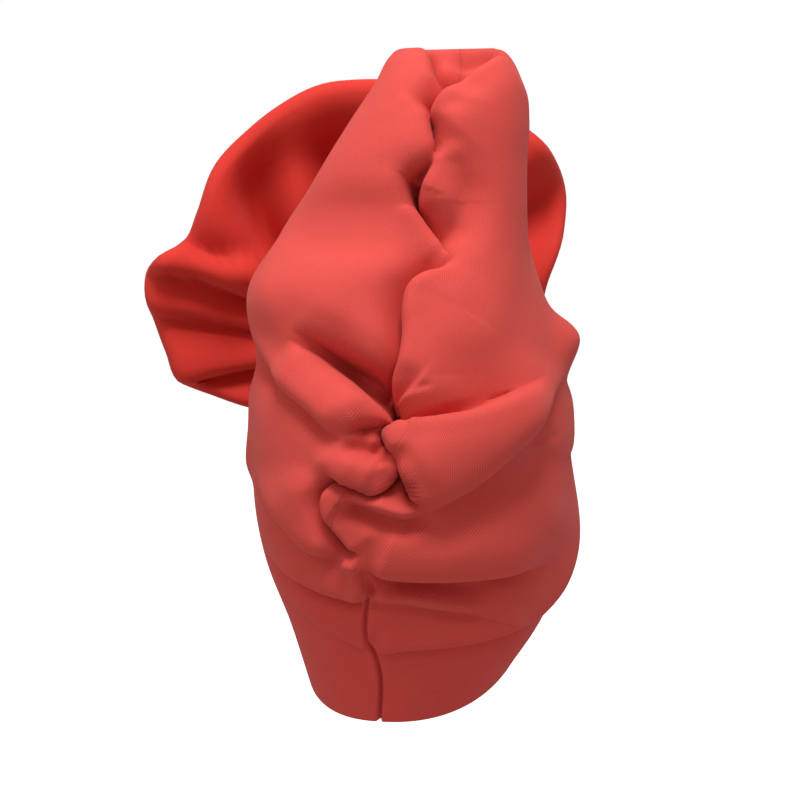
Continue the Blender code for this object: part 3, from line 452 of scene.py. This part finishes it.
def fold_relief(at, folds, scale, depth):
    """Height and sideways push of all the folds at the layout's points."""
    height = np.zeros(len(at))
    push = np.zeros((len(at), 2))
    much, where, wide = LAP_LEAN_SHARES
    for fold in folds:
        route = smooth_route(np.asarray(fold.route, float) * scale)
        rise = fold.rise * depth
        sink = fold.sink * depth
        roll = fold.roll * FOLD_WIDTH
        dip = fold.dip * FOLD_WIDTH
        reach = fold.reach * FOLD_WIDTH
        far = FOLD_REACH * max(roll, dip) + FOLD_REACH * reach
        near = np.flatnonzero(np.all((at > route.min(0) - far) & (at < route.max(0) + far), axis=1))
        if fold.kind == "swell":
            flat = np.ones(len(near))
            for spot in route[::2]:
                flat *= 1 - SWELL_SHARE * bell(np.linalg.norm(at[near] - spot, axis=1), roll)
            height[near] += rise * (1 - flat)
            continue
        distance, share, side = from_route(at[near], route)
        amount = fold_fade(share, fold)
        if fold.kind == "lap":
            height[near] += amount * lap_height(distance, rise, sink, roll, dip, reach)
            lean = much * (rise + sink) * bell(distance - where * roll, wide * roll) * (distance > -roll)
            push[near] -= side * (amount * lean)[:, None]
        else:
            width = np.where(distance > 0, roll, dip)
            height[near] += amount * (rise - sink) * bell(distance, width)
    return height, push


def section_table():
    """One row for each section: height at the back, rise to the front, centre, half widths and depths."""
    rows = [(0.0, FOREHEAD_RISE, HEM_X * CROWN_HALF_WIDTH, HEM_Y * CROWN_HALF_WIDTH, HEM_HALF_WIDTH,
             HEM_HALF_WIDTH, HEM_DEPTH, HEM_FRONT * FRONT_DEPTH)]
    for s in CROWN_SECTIONS:
        rows.append((s.up * CROWN_HEIGHT, s.rise * FOREHEAD_RISE, s.x * CROWN_HALF_WIDTH,
                     s.y * CROWN_HALF_WIDTH, s.left * CROWN_HALF_WIDTH, s.right * CROWN_HALF_WIDTH,
                     s.back * BACK_DEPTH, s.front * FRONT_DEPTH))
    for s in LOOP_SECTIONS:
        rows.append((CROWN_HEIGHT + s.up * LOOP_HEIGHT, 0.0, s.x * LOOP_HALF_WIDTH, s.y * LOOP_DEPTH,
                     s.left * LOOP_HALF_WIDTH, s.right * LOOP_HALF_WIDTH, s.back * LOOP_DEPTH,
                     s.front * LOOP_DEPTH))
    peak = rows[-1]
    rows.append((HEIGHT, 0.0, peak[2], peak[3], PEAK_NARROWING * peak[4], PEAK_NARROWING * peak[5],
                 PEAK_SLIT / 2, PEAK_SLIT / 2))
    return np.array(rows)


def shares_of_run(heights, depths):
    """How far up the cloth each section lies, from 0 to 1, measured along the back."""
    run = np.concatenate([[0], np.cumsum(np.hypot(np.diff(heights), np.diff(depths)))])
    return run / run[-1]


SECTION_ROWS = section_table()
SECTION_RUN = shares_of_run(SECTION_ROWS[:, 0], SECTION_ROWS[:, 6])


def plain_wrap(theta, v):
    """The wrap without its folds. theta is round from the back, positive to the right; v is 0 to 1 up."""
    z, rise, x, y, left, right, back, front = np.moveaxis(spline(SECTION_RUN, SECTION_ROWS, v), -1, 0)
    cosine = np.cos(theta)
    sine = np.sin(theta)
    forward = smooth(-FRONT_BLEND, FRONT_BLEND, -cosine)
    depth = back * (1 - forward) + front * forward
    px = x + np.where(sine > 0, right, left) * sine
    py = y - depth * cosine
    pz = z + rise * np.clip((1 - cosine) / 2, 0, 1) ** RISE_POWER
    return np.stack([px, py, pz], -1)


def unit(vectors):
    return vectors / np.maximum(np.linalg.norm(vectors, axis=-1, keepdims=True), TINY)


def plain_normals(theta, v):
    """Normals of the plain wrap, from points a small step either way along it."""
    step_round, step_up = PLAIN_STEPS
    low_v = np.maximum(v - step_up, 0)
    high_v = np.minimum(v + step_up, 1)
    across = plain_wrap(theta + step_round, v) - plain_wrap(theta - step_round, v)
    up = plain_wrap(theta, high_v) - plain_wrap(theta, low_v)
    return unit(np.cross(across, up))


LAYOUT_RIGHT = np.array([math.cos(LAYOUT_TURN), math.sin(LAYOUT_TURN), 0.0])
LAYOUT_BACK = np.array([
    math.sin(LAYOUT_TURN) * math.cos(LAYOUT_RISE),
    -math.cos(LAYOUT_TURN) * math.cos(LAYOUT_RISE),
    math.sin(LAYOUT_RISE),
])
LAYOUT_UP = np.cross(LAYOUT_BACK, LAYOUT_RIGHT)
LAYOUT_POINT = LAYOUT_BACK * LAYOUT_DISTANCE + np.array([0.0, 0.0, LAYOUT_HEIGHT])


def on_layout(points):
    """Where the points fall on the layout sheet, across and up."""
    off = points - LAYOUT_POINT
    grow = LAYOUT_DISTANCE / -(off @ LAYOUT_BACK)
    across = (off @ LAYOUT_RIGHT) * grow
    up = (off @ LAYOUT_UP) * grow + LAYOUT_HEIGHT
    return np.stack([across, up], -1)


def folded_wrap(theta, v):
    """The wrap with its folds, as points in metres."""
    shape = theta.shape
    theta = theta.reshape(-1)
    v = v.reshape(-1)
    base = plain_wrap(theta, v)
    normal = plain_normals(theta, v)
    facing = np.einsum("ij,ij->i", normal, unit(LAYOUT_POINT - base))
    back_scale = np.array([STEP_ACROSS, STEP_UP])
    height, push = fold_relief(on_layout(base), BACK_FOLDS, back_scale, FOLD_DEPTH)
    round_at = np.stack([theta * CROWN_HALF_WIDTH, base[:, 2]], -1)
    side_scale = np.array([math.radians(1) * CROWN_HALF_WIDTH, HEIGHT])
    side_height, _ = fold_relief(round_at, SIDE_FOLDS, side_scale, SIDE_FOLD_DEPTH)
    from_back = smooth(0.0, FACING_FULL, facing)
    seam_ease = smooth(0, SEAM_EASE, np.pi - np.abs(theta))
    peak_ease = smooth(0, PEAK_EASE, 1 - v)
    rise = (height * from_back + side_height * (1 - from_back) * seam_ease) * peak_ease
    sideways = push[:, :1] * LAYOUT_RIGHT + push[:, 1:] * LAYOUT_UP
    points = base + normal * rise[:, None] + sideways * (from_back * peak_ease)[:, None]
    return points.reshape(*shape, 3)


def crease_angle(v):
    """The angle of the back crease at each v."""
    route_across, route_up = np.array(CREASE, float).T
    sweep = np.linspace(-CREASE_SWEEP, CREASE_SWEEP, CREASE_STEPS)
    angles = np.empty(len(v))
    for k, at in enumerate(v):
        seen = on_layout(plain_wrap(sweep, np.full(len(sweep), at)))
        wanted = np.interp(seen[:, 1] / STEP_UP, route_up, route_across) * STEP_ACROSS
        past = np.flatnonzero(seen[:, 0] >= wanted)[0]
        before = seen[past - 1, 0] - wanted[past - 1]
        after = seen[past, 0] - wanted[past]
        angles[k] = sweep[past - 1] + (sweep[past] - sweep[past - 1]) * before / (before - after)
    return angles


CREASE_V = np.linspace(0, 1, CREASE_HEIGHTS)
CREASE_ANGLES = crease_angle(CREASE_V)


def half_angles(v, share, side):
    """Angles of one half's columns: share 0 is the back crease, 1 the front seam, side -1 or 1."""
    crease = np.interp(v, CREASE_V, CREASE_ANGLES)
    start = crease + side * SEAM_GAP / 2 / CROWN_HALF_WIDTH
    end = side * (math.pi - SEAM_GAP / 2 / CROWN_HALF_WIDTH)
    return start + (end - start) * share


def column_shares():
    """Columns close together at the back, wider at the front."""
    even = np.linspace(0, 1, HALF_COLUMNS + 1)
    return EVEN_COLUMNS * even + CLOSER_COLUMNS * even**COLUMN_POWER


def edge_v(share, side, side_of_gap):
    """How far up the band's edge is, for each column of a half. side_of_gap is 1 above it, -1 below."""
    degrees, heights = np.array(BAND_EDGE).T
    sweep = np.linspace(0, BAND_SWEEP, BAND_STEPS)
    v = np.empty(len(share))
    for k, at in enumerate(share):
        angle = half_angles(sweep, np.full(len(sweep), at), side)
        z = plain_wrap(angle, sweep)[:, 2]
        wanted = spline(degrees, heights, np.degrees(angle)) * CROWN_HEIGHT + side_of_gap * SEAM_GAP / 2
        v[k] = np.interp(0, z - wanted, sweep)
    return v


def half_cloth(side, low, high, rows, tuck_top=False):
    """Points of one half's cloth between two edges. The left half's back edge is tucked in."""
    share = column_shares()
    in_columns = np.zeros(len(share))
    if side < 0:
        tuck = np.arange(TUCK_COLUMNS, 0, -1)
        share = np.concatenate([-tuck * TUCK_STEPS[0], share])
        low = np.concatenate([np.full(TUCK_COLUMNS, low[0]), low])
        high = np.concatenate([np.full(TUCK_COLUMNS, high[0]), high])
        in_columns = np.concatenate([smooth(0, TUCK_TURN, tuck), in_columns])
    v = low + (high - low) * np.linspace(0, 1, rows + 1)[:, None]
    in_rows = np.zeros(rows + 1)
    if tuck_top:
        tuck = np.arange(1, TUCK_ROWS + 1)
        v = np.concatenate([v, high + tuck[:, None] * TUCK_STEPS[1]])
        in_rows = np.concatenate([in_rows, smooth(0, TUCK_TURN, tuck)])
    angle = np.empty_like(v)
    for k, row in enumerate(v):
        angle[k] = half_angles(row, share, side)
    points = folded_wrap(angle, v)
    inward = TUCK_DEPTH * np.maximum(in_columns[None, :], in_rows[:, None])
    points -= grid_normals(points[:, ::side])[:, ::side] * inward[..., None]
    return points[:, ::side]


def grid_normals(points, closed=False):
    """Normals of a grid of points, smoothed a little along it."""
    if closed:
        across = np.roll(points, -1, axis=1) - np.roll(points, 1, axis=1)
    else:
        across = np.gradient(points, axis=1)
    up = np.gradient(points, axis=0)
    normal = unit(np.cross(across, up))
    for _ in range(NORMAL_ROUNDS):
        padded = np.pad(normal, ((1, 1), (1, 1), (0, 0)), mode="wrap" if closed else "edge")
        if closed:
            padded[0] = padded[1]
            padded[-1] = padded[-2]
        normal = unit(padded[:-2, 1:-1] + padded[2:, 1:-1] + padded[1:-1, :-2] + padded[1:-1, 2:])
    return normal


def cloth_distances(points):
    """How far along and up the cloth each point lies, in metres."""
    steps = np.linalg.norm(np.diff(points, axis=1), axis=2)
    across = np.concatenate([np.zeros((len(points), 1)), np.cumsum(steps, axis=1)], axis=1)
    across = np.broadcast_to(across.mean(axis=0), across.shape)
    rises = np.linalg.norm(np.diff(points, axis=0), axis=2)
    up = np.concatenate([np.zeros((1, points.shape[1])), np.cumsum(rises, axis=0)], axis=0)
    up = np.broadcast_to(up.mean(axis=1, keepdims=True), up.shape)
    return np.stack([across, up], -1)


def quads(index):
    corners = np.stack([index[:-1, :-1], index[:-1, 1:], index[1:, 1:], index[1:, :-1]], -1)
    return [tuple(face) for face in corners.reshape(-1, 4).tolist()]


def hem_faces(out, into):
    """Triangles that join an edge of the outer cloth to the coarser edge of the inner cloth."""
    faces = []
    for k in range(len(into) - 1):
        near, far = int(into[k]), int(into[k + 1])
        first, middle, last = (int(n) for n in out[2 * k:2 * k + 3])
        faces += [(first, near, middle), (near, far, middle), (middle, far, last)]
    return faces


def turned_over(faces):
    return [face[::-1] for face in faces]


def add_object(name, data):
    made = bpy.data.objects.new(name, data)
    bpy.context.scene.collection.objects.link(made)
    return made


def cloth_piece(name, outer, inner, material, closed=False):
    """A sheet of cloth: a fine outer side, an inner side with half its rows and columns, and its edges.

    closed joins the last column to the first, and closes the first row with a point at its middle.
    Where each point lies on the flat cloth becomes the cloth's own coordinates.
    """
    inner = inner[::2, ::2]
    laid = cloth_distances(outer)
    rows, columns = outer.shape[:2]
    count = rows * columns
    out = np.arange(count).reshape(rows, columns)
    inner_count = inner.shape[0] * inner.shape[1]
    into = (np.arange(inner_count) + count).reshape(inner.shape[:2])
    points = np.concatenate([outer.reshape(-1, 3), inner.reshape(-1, 3)])
    where = np.concatenate([laid.reshape(-1, 2), laid[::2, ::2].reshape(-1, 2)])
    if closed:
        out = np.concatenate([out, out[:, :1]], axis=1)
        into = np.concatenate([into, into[:, :1]], axis=1)
    faces = quads(out) + turned_over(quads(into))
    if closed:
        points = np.concatenate([points, outer[:1].mean(axis=1), inner[:1].mean(axis=1)])
        where = np.concatenate([where, laid[0, :1], laid[0, :1]])
        top = count + inner_count
        faces += [(top, int(out[0, k + 1]), int(out[0, k])) for k in range(columns)]
        faces += [(top + 1, int(into[0, k]), int(into[0, k + 1])) for k in range(inner.shape[1])]
    else:
        faces += turned_over(hem_faces(out[:, 0], into[:, 0]))
        faces += hem_faces(out[:, -1], into[:, -1])
        faces += hem_faces(out[0], into[0])
    faces += turned_over(hem_faces(out[-1], into[-1]))
    mesh = bpy.data.meshes.new(name)
    mesh.from_pydata(points.tolist(), [], faces)
    mesh.materials.append(material)
    lay = mesh.uv_layers.new(name="cloth")
    corner = np.empty(len(mesh.loops), dtype=np.int32)
    mesh.loops.foreach_get("vertex_index", corner)
    lay.data.foreach_set("uv", where[corner].astype(np.float32).ravel())
    mesh.shade_smooth()
    return add_object(name, mesh)


def make_drape(name, side, material):
    """One half of the gathered wrap, from the band's edge to the peak."""
    low = edge_v(column_shares(), side, 1)
    outer = half_cloth(side, low, np.ones_like(low), DRAPE_ROWS)
    thinned = 1 - PEAK_THINNING * smooth(PEAK_THIN_FROM, 1, np.linspace(0, 1, DRAPE_ROWS + 1))
    inner = outer - grid_normals(outer) * WALL * thinned[:, None, None]
    return cloth_piece(name, outer, inner, material)


def make_band(name, material):
    """The fitted band: one strip round the head, its ends meeting at the back seam."""
    halves = []
    for side in (1, -1):
        high = edge_v(column_shares(), side, -1)
        halves.append(half_cloth(side, np.zeros_like(high), high, BAND_ROWS, tuck_top=True))
    right, left = halves
    outer = np.concatenate([right, left[:, 1:]], axis=1)
    inner = outer - grid_normals(outer) * WALL
    return cloth_piece(name, outer, inner, material)


FAN_RIGHT = np.array([math.cos(FAN_TURN), math.sin(FAN_TURN), 0.0])
FAN_FORWARD = np.array([
    -math.sin(FAN_TURN) * math.cos(FAN_LEAN),
    math.cos(FAN_TURN) * math.cos(FAN_LEAN),
    math.sin(FAN_LEAN),
])
FAN_UPWARD = np.cross(FAN_RIGHT, FAN_FORWARD)


def fan_centre():
    """The middle of the fan's root, a little inside the wrap's surface."""
    sweep = np.linspace(0, 1, SEAT_STEPS)
    column = plain_wrap(np.full(len(sweep), math.radians(FAN_AZIMUTH)), sweep)
    v = np.interp(FAN_UP * CROWN_HEIGHT, column[:, 2], sweep)
    seat = plain_wrap(np.array([math.radians(FAN_AZIMUTH)]), np.array([v]))[0]
    return seat - FAN_FORWARD * FAN_SETBACK


FAN_CENTRE = fan_centre()


def fan_cloth(turn, s):
    """The fan's doubled cloth: s runs from the middle of the front, over the rim, to the root behind.

    turn is in degrees, anticlockwise as seen from behind.
    """
    outline_turn, outline = np.array(FAN_OUTLINE).T
    rim = spline(outline_turn, outline * FAN_RADIUS, (turn - FAN_START) % 360 + FAN_START)
    front = np.clip(s / FAN_FRONT_SHARE, 0, 1)
    behind = np.clip((s - FAN_BACK_SHARE) / (1 - FAN_BACK_SHARE), 0, 1)
    roll = np.clip((s - FAN_FRONT_SHARE) / (FAN_BACK_SHARE - FAN_FRONT_SHARE), 0, 1) * math.pi
    edge = rim - FAN_RIM_ROLL
    middle = FAN_EYE_RADIUS + (edge - FAN_EYE_RADIUS) * front**FAN_ROW_POWER
    out = np.where(s < FAN_FRONT_SHARE, middle, edge + (FAN_ROOT_RADIUS - edge) * behind)
    q = out / rim
    dish = FAN_DISH * np.sin(DISH_SHARE * math.pi * q**DISH_POWER)
    puff = FAN_RIM_ROLL / 2 + FAN_PUFF * np.sin(math.pi * (PUFF_FROM + PUFF_SPAN * q))
    neck = 1 - smooth(FAN_NECK_SHARE, 1.0, behind)
    # The pleats are laid out straight: across as they would be at half the radius, and out to the rim
    at = np.stack([-np.radians(turn) * FAN_RADIUS / 2, q * FAN_RADIUS], -1)
    scale = np.array([-math.radians(1) * FAN_RADIUS / 2, FAN_RADIUS])
    height, _ = fold_relief(at, PLEATS, scale, PLEAT_DEPTH)
    pleats = height * smooth(PLEATS_FROM, PLEATS_FULL, q)
    forward = dish * neck + np.cos(roll) * puff * neck - pleats * neck
    out = out + FAN_RIM_ROLL * np.sin(roll)
    angle = np.radians(turn)
    return (FAN_CENTRE + (out * np.cos(angle))[:, None] * FAN_RIGHT
            + (out * np.sin(angle))[:, None] * FAN_UPWARD + forward[:, None] * FAN_FORWARD)


def fan_rows():
    """Where the fan's rows lie along its doubled cloth."""
    front = np.linspace(0, FAN_FRONT_SHARE, FAN_FRONT_ROWS + 1)
    rim = np.linspace(FAN_FRONT_SHARE, FAN_BACK_SHARE, FAN_RIM_ROWS + 1)
    back = np.linspace(FAN_BACK_SHARE, 1, FAN_BACK_ROWS + 1)
    return np.concatenate([front, rim[1:], back[1:]])


def surface_tree(piece):
    """The piece's faces, ready for finding where a line meets them."""
    corners = [vertex.co for vertex in piece.data.vertices]
    return BVHTree.FromPolygons(corners, [tuple(face.vertices) for face in piece.data.polygons])


def clear_of_wrap(points, drapes, gap):
    """The points, each moved forward where it would lie closer than gap to the wrap."""
    forward = Vector(FAN_FORWARD)
    moved = []
    for point in points:
        place = Vector(point)
        for drape in drapes:
            hit = drape.ray_cast(Vector(point) + forward * FAN_RADIUS, -forward, 2 * FAN_RADIUS)[0]
            if hit is not None:
                place += forward * max(gap - (place - hit).dot(forward), 0)
        moved.append(place)
    return np.array(moved)


def make_fan(name, drapes, material):
    """The pleated fan, seated on the wrap by the ring at its root."""
    rows = fan_rows()
    turns = np.linspace(FAN_START, FAN_START + 360, FAN_COLUMNS, endpoint=False)
    turn, s = np.meshgrid(turns, rows)
    outer = fan_cloth(turn.reshape(-1), s.reshape(-1)).reshape(*turn.shape, 3)
    inner = outer + grid_normals(outer, closed=True) * WALL
    trees = [surface_tree(drape) for drape in drapes]
    for row in np.flatnonzero(rows >= FAN_BACK_SHARE)[:-1]:
        outer[row] = clear_of_wrap(outer[row], trees, FAN_CLEARANCE)
        inner[row] = clear_of_wrap(inner[row], trees, FAN_CLEARANCE + WALL)
    under = FAN_FORWARD * FAN_RADIUS / 2
    outer[-1] = clear_of_wrap(outer[-1] - under, trees, SEAT_GAP)
    inner[-1] = clear_of_wrap(inner[-1] - under, trees, SEAT_GAP)
    return cloth_piece(name, outer[:, ::-1], inner[:, ::-1], material, closed=True)


# Between these heights, in steps up the layout, the right half's cloth turns over
STRAND_FOOT = (84, 112)


def slant_of(points):
    """1 where the knit's fine lines fall steeply to the right, 0 where they rise."""
    return smooth(STRAND_FOOT[0] * STEP_UP, STRAND_FOOT[1] * STEP_UP, on_layout(points)[:, 1])


def set_slant(piece, amount):
    spread = piece.data.attributes.new("slant", "FLOAT", "POINT")
    spread.data.foreach_set("value", np.asarray(amount, np.float32))


def node(tree, kind, **settings):
    made = tree.nodes.new(kind)
    for key, value in settings.items():
        setattr(made, key, value)
    return made


def maths(tree, operation, *values):
    """The result of a sum. Each value is a number or what another node gives."""
    made = node(tree, "ShaderNodeMath", operation=operation)
    for place, value in zip(made.inputs, values):
        if isinstance(value, bpy.types.NodeSocket):
            tree.links.new(value, place)
        else:
            place.default_value = value
    return made.outputs[0]


def noise(tree, place, scale, detail):
    made = node(tree, "ShaderNodeTexNoise", noise_dimensions="3D")
    made.inputs["Scale"].default_value = scale
    made.inputs["Detail"].default_value = detail
    tree.links.new(place, made.inputs["Vector"])
    return made


def twill_lines(tree, place, direction, pitch):
    """Waves of fine lines across one direction of the cloth."""
    along = node(tree, "ShaderNodeVectorMath", operation="DOT_PRODUCT")
    along.inputs[1].default_value = direction
    tree.links.new(place, along.inputs[0])
    turns = maths(tree, "DIVIDE", along.outputs["Value"], pitch)
    return maths(tree, "SINE", maths(tree, "MULTIPLY", turns, 2 * math.pi))


# The knit's fine lines: pitch and depth in metres, how dark their grooves are, and how much fuzz speckles
KNIT_LOOK = (("Line Pitch", 0.00078), ("Line Depth", 0.00006), ("Groove Shade", 0.26), ("Fuzz", 0.2))
# Which way the lines run, as the direction across them on the flat cloth
RISING_LINES = (-0.75, 0.66, 0.0)
FALLING_LINES = (0.80, 0.60, 0.0)
# How coarse and how far their waver is, how fine the fuzz is, and the lines' share in the height
WAVER_SCALE = 40.0
WAVER_SHIFT = (0.004, 0.004, 0.0)
FUZZ_SCALE = 1400.0
LINE_SHARE = 0.5


def knit_group():
    """Shared look of the knit: the shade and the relief of its fine slanting lines and its fuzz."""
    tree = bpy.data.node_groups.new("knit_look", "ShaderNodeTree")
    link = tree.links.new
    face = tree.interface
    face.new_socket("Colour", in_out="INPUT", socket_type="NodeSocketColor")
    for name, value in KNIT_LOOK:
        made = face.new_socket(name, in_out="INPUT", socket_type="NodeSocketFloat")
        made.default_value = value
    face.new_socket("Colour", in_out="OUTPUT", socket_type="NodeSocketColor")
    face.new_socket("Normal", in_out="OUTPUT", socket_type="NodeSocketVector")
    given = node(tree, "NodeGroupInput")
    result = node(tree, "NodeGroupOutput")
    laid = node(tree, "ShaderNodeUVMap", uv_map="cloth")
    solid = node(tree, "ShaderNodeTexCoord")
    slant = node(tree, "ShaderNodeAttribute", attribute_name="slant")
    # A little waver keeps the lines from looking ruled
    waver = noise(tree, solid.outputs["Object"], WAVER_SCALE, 1.0)
    shift = node(tree, "ShaderNodeVectorMath", operation="MULTIPLY_ADD")
    shift.inputs[1].default_value = WAVER_SHIFT
    link(waver.outputs["Color"], shift.inputs[0])
    link(laid.outputs["UV"], shift.inputs[2])
    rising = twill_lines(tree, shift.outputs[0], RISING_LINES, given.outputs["Line Pitch"])
    falling = twill_lines(tree, shift.outputs[0], FALLING_LINES, given.outputs["Line Pitch"])
    lines = node(tree, "ShaderNodeMix", data_type="FLOAT")
    link(slant.outputs["Fac"], lines.inputs["Factor"])
    link(rising, lines.inputs["A"])
    link(falling, lines.inputs["B"])
    fuzz = noise(tree, solid.outputs["Object"], FUZZ_SCALE, 2.0)
    # Shade: grooves between the lines are darker, and fuzz speckles them
    groove = node(tree, "ShaderNodeMapRange")
    for socket, value in (("From Min", -1.0), ("From Max", 1.0), ("To Min", 1.0), ("To Max", 0.0)):
        groove.inputs[socket].default_value = value
    link(lines.outputs["Result"], groove.inputs["Value"])
    dark = maths(tree, "MULTIPLY", groove.outputs["Result"], given.outputs["Groove Shade"])
    speck = maths(tree, "MULTIPLY", fuzz.outputs["Fac"], given.outputs["Fuzz"])
    light = maths(tree, "SUBTRACT", 1.0, maths(tree, "ADD", dark, speck))
    shade = node(tree, "ShaderNodeVectorMath", operation="SCALE")
    link(given.outputs["Colour"], shade.inputs[0])
    link(light, shade.inputs["Scale"])
    link(shade.outputs[0], result.inputs["Colour"])
    high = maths(tree, "MULTIPLY_ADD", lines.outputs["Result"], LINE_SHARE, fuzz.outputs["Fac"])
    bump = node(tree, "ShaderNodeBump")
    bump.inputs["Strength"].default_value = 1.0
    link(given.outputs["Line Depth"], bump.inputs["Distance"])
    link(high, bump.inputs["Height"])
    link(bump.outputs["Normal"], result.inputs["Normal"])
    return tree


CLOTH_LOOK = (
    ("Roughness", 0.85),
    ("Specular IOR Level", 0.12),
    ("Sheen Roughness", 0.45),
    ("Sheen Tint", (1.0, 0.72, 0.68, 1.0)),
)


def knit_material(name, look, colour, sheen, lines=1.0):
    """Matt knit cloth with a pale nap at grazing angles. lines is how strongly its fine lines show."""
    material = bpy.data.materials.new(name)
    material.use_nodes = True
    tree = material.node_tree
    shader = tree.nodes["Principled BSDF"]
    for socket, value in (*CLOTH_LOOK, ("Sheen Weight", sheen)):
        shader.inputs[socket].default_value = value
    knit = node(tree, "ShaderNodeGroup", node_tree=look)
    knit.inputs["Colour"].default_value = (*colour, 1.0)
    for socket in ("Line Depth", "Groove Shade"):
        knit.inputs[socket].default_value *= lines
    tree.links.new(knit.outputs["Colour"], shader.inputs["Base Color"])
    tree.links.new(knit.outputs["Normal"], shader.inputs["Normal"])
    return material


def dress():
    """Makes the four pieces of cloth."""
    look = knit_group()
    band_knit = knit_material("band_cloth", look, colour=(0.85, 0.088, 0.074), sheen=0.08)
    drape_knit = knit_material("drape_cloth", look, colour=(0.85, 0.096, 0.078), sheen=0.09)
    # The fan is the same coral knit as the rest. Its darker, deeper red colour here is painted shade,
    # standing for the shade the fan lies in behind the tall loop.
    fan_knit = knit_material("fan_cloth", look, colour=(0.74, 0.048, 0.034), sheen=0.07, lines=0.25)
    left = make_drape("left_gathers", -1, drape_knit)
    right = make_drape("right_gathers", 1, drape_knit)
    band = make_band("fitted_band", band_knit)
    fan = make_fan("pleated_fan", (left, right), fan_knit)
    stand_ins = (
        (left, "left_drape", "drape_knit"),
        (right, "right_drape", "drape_knit"),
        (band, "head_band", "band_knit"),
        (fan, "front_fan", "fan_knit"),
    )
    for piece, stands_for, slot in stand_ins:
        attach(piece, "root")
        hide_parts(stands_for)
    # Only the right half's cloth turns over, so on the others the lines rise everywhere
    places = np.array([vertex.co for vertex in right.data.vertices])
    set_slant(right, slant_of(places))


# Camera, floor and light. The sensor is in millimetres. At the head's axis the view is VIEW_WIDTH wide,
# its middle VIEW_SHIFT to the right and VIEW_HEIGHT up. The SEEN values are what the camera sees of the
# floor and the room, and the others light the cloth.
CAMERA_DISTANCE = 1.25
SENSOR = 36
VIEW_WIDTH = 0.448
VIEW_SHIFT = -0.0056
VIEW_HEIGHT = 0.1673
FLOOR_BELOW = 0.30
FLOOR_REACH = 6.0
FLOOR_CORNERS = ((-1, -1), (1, -1), (1, 1), (-1, 1))
FLOOR_SEEN = (0.93, 0.93, 0.93, 1.0)
FLOOR_BOUNCE = (0.60, 0.58, 0.58, 1.0)
FLOOR_GLOW = 0.8


def put(thing, place, backward):
    """Puts a camera or a lamp in its place, with its back to the backward direction."""
    thing.location = place
    thing.rotation_mode = "QUATERNION"
    thing.rotation_quaternion = backward.to_track_quat("Z", "Y")


def make_camera():
    data = bpy.data.cameras.new("camera")
    data.sensor_width = SENSOR
    data.lens = SENSOR * CAMERA_DISTANCE / VIEW_WIDTH
    camera = add_object("camera", data)
    target = Vector(LAYOUT_RIGHT) * VIEW_SHIFT + Vector((0, 0, VIEW_HEIGHT))
    back = Vector(LAYOUT_BACK)
    put(camera, target + back * CAMERA_DISTANCE, back)
    bpy.context.scene.camera = camera


def make_floor():
    mesh = bpy.data.meshes.new("floor")
    corners = [(x * FLOOR_REACH, y * FLOOR_REACH, -FLOOR_BELOW) for x, y in FLOOR_CORNERS]
    mesh.from_pydata(corners, [], [(0, 1, 2, 3)])
    paint = bpy.data.materials.new("pale_floor")
    paint.use_nodes = True
    tree = paint.node_tree
    shader = tree.nodes["Principled BSDF"]
    shader.inputs["Roughness"].default_value = 0.9
    seen = node(tree, "ShaderNodeLightPath").outputs["Is Camera Ray"]
    tone = node(tree, "ShaderNodeMix", data_type="RGBA")
    tone.inputs["A"].default_value = FLOOR_BOUNCE
    tone.inputs["B"].default_value = FLOOR_SEEN
    tree.links.new(seen, tone.inputs["Factor"])
    tree.links.new(tone.outputs["Result"], shader.inputs["Base Color"])
    shader.inputs["Emission Color"].default_value = FLOOR_SEEN
    tree.links.new(maths(tree, "MULTIPLY", seen, FLOOR_GLOW), shader.inputs["Emission Strength"])
    mesh.materials.append(paint)
    floor = add_object("floor", mesh)


Lamp = namedtuple("Lamp", "name place size power")
LAMPS = (
    Lamp("overhead", (0.10, -0.40, 1.08), 0.45, 8.2),
    Lamp("side", (-0.8, -0.8, 0.9), 0.7, 2.0),
)
LAMP_AIM = Vector((0.0, 0.0, 0.2))
ROOM_LIGHT = 0.50
ROOM_SEEN = 1.0


def make_light():
    for lamp in LAMPS:
        data = bpy.data.lights.new(lamp.name, "AREA")
        data.energy = lamp.power
        data.size = lamp.size
        put(add_object(lamp.name, data), lamp.place, Vector(lamp.place) - LAMP_AIM)
    world = bpy.data.worlds.new("room")
    world.use_nodes = True
    tree = world.node_tree
    shade = tree.nodes["Background"]
    shade.inputs["Color"].default_value = (1.0, 1.0, 1.0, 1.0)
    rays = node(tree, "ShaderNodeLightPath")
    strength = node(tree, "ShaderNodeMix", data_type="FLOAT")
    strength.inputs["A"].default_value = ROOM_LIGHT
    strength.inputs["B"].default_value = ROOM_SEEN
    tree.links.new(rays.outputs["Is Camera Ray"], strength.inputs["Factor"])
    tree.links.new(strength.outputs["Result"], shade.inputs["Strength"])
    bpy.context.scene.world = world
    bpy.context.scene.view_settings.view_transform = "Standard"


dress()
make_camera()
make_floor()
make_light()
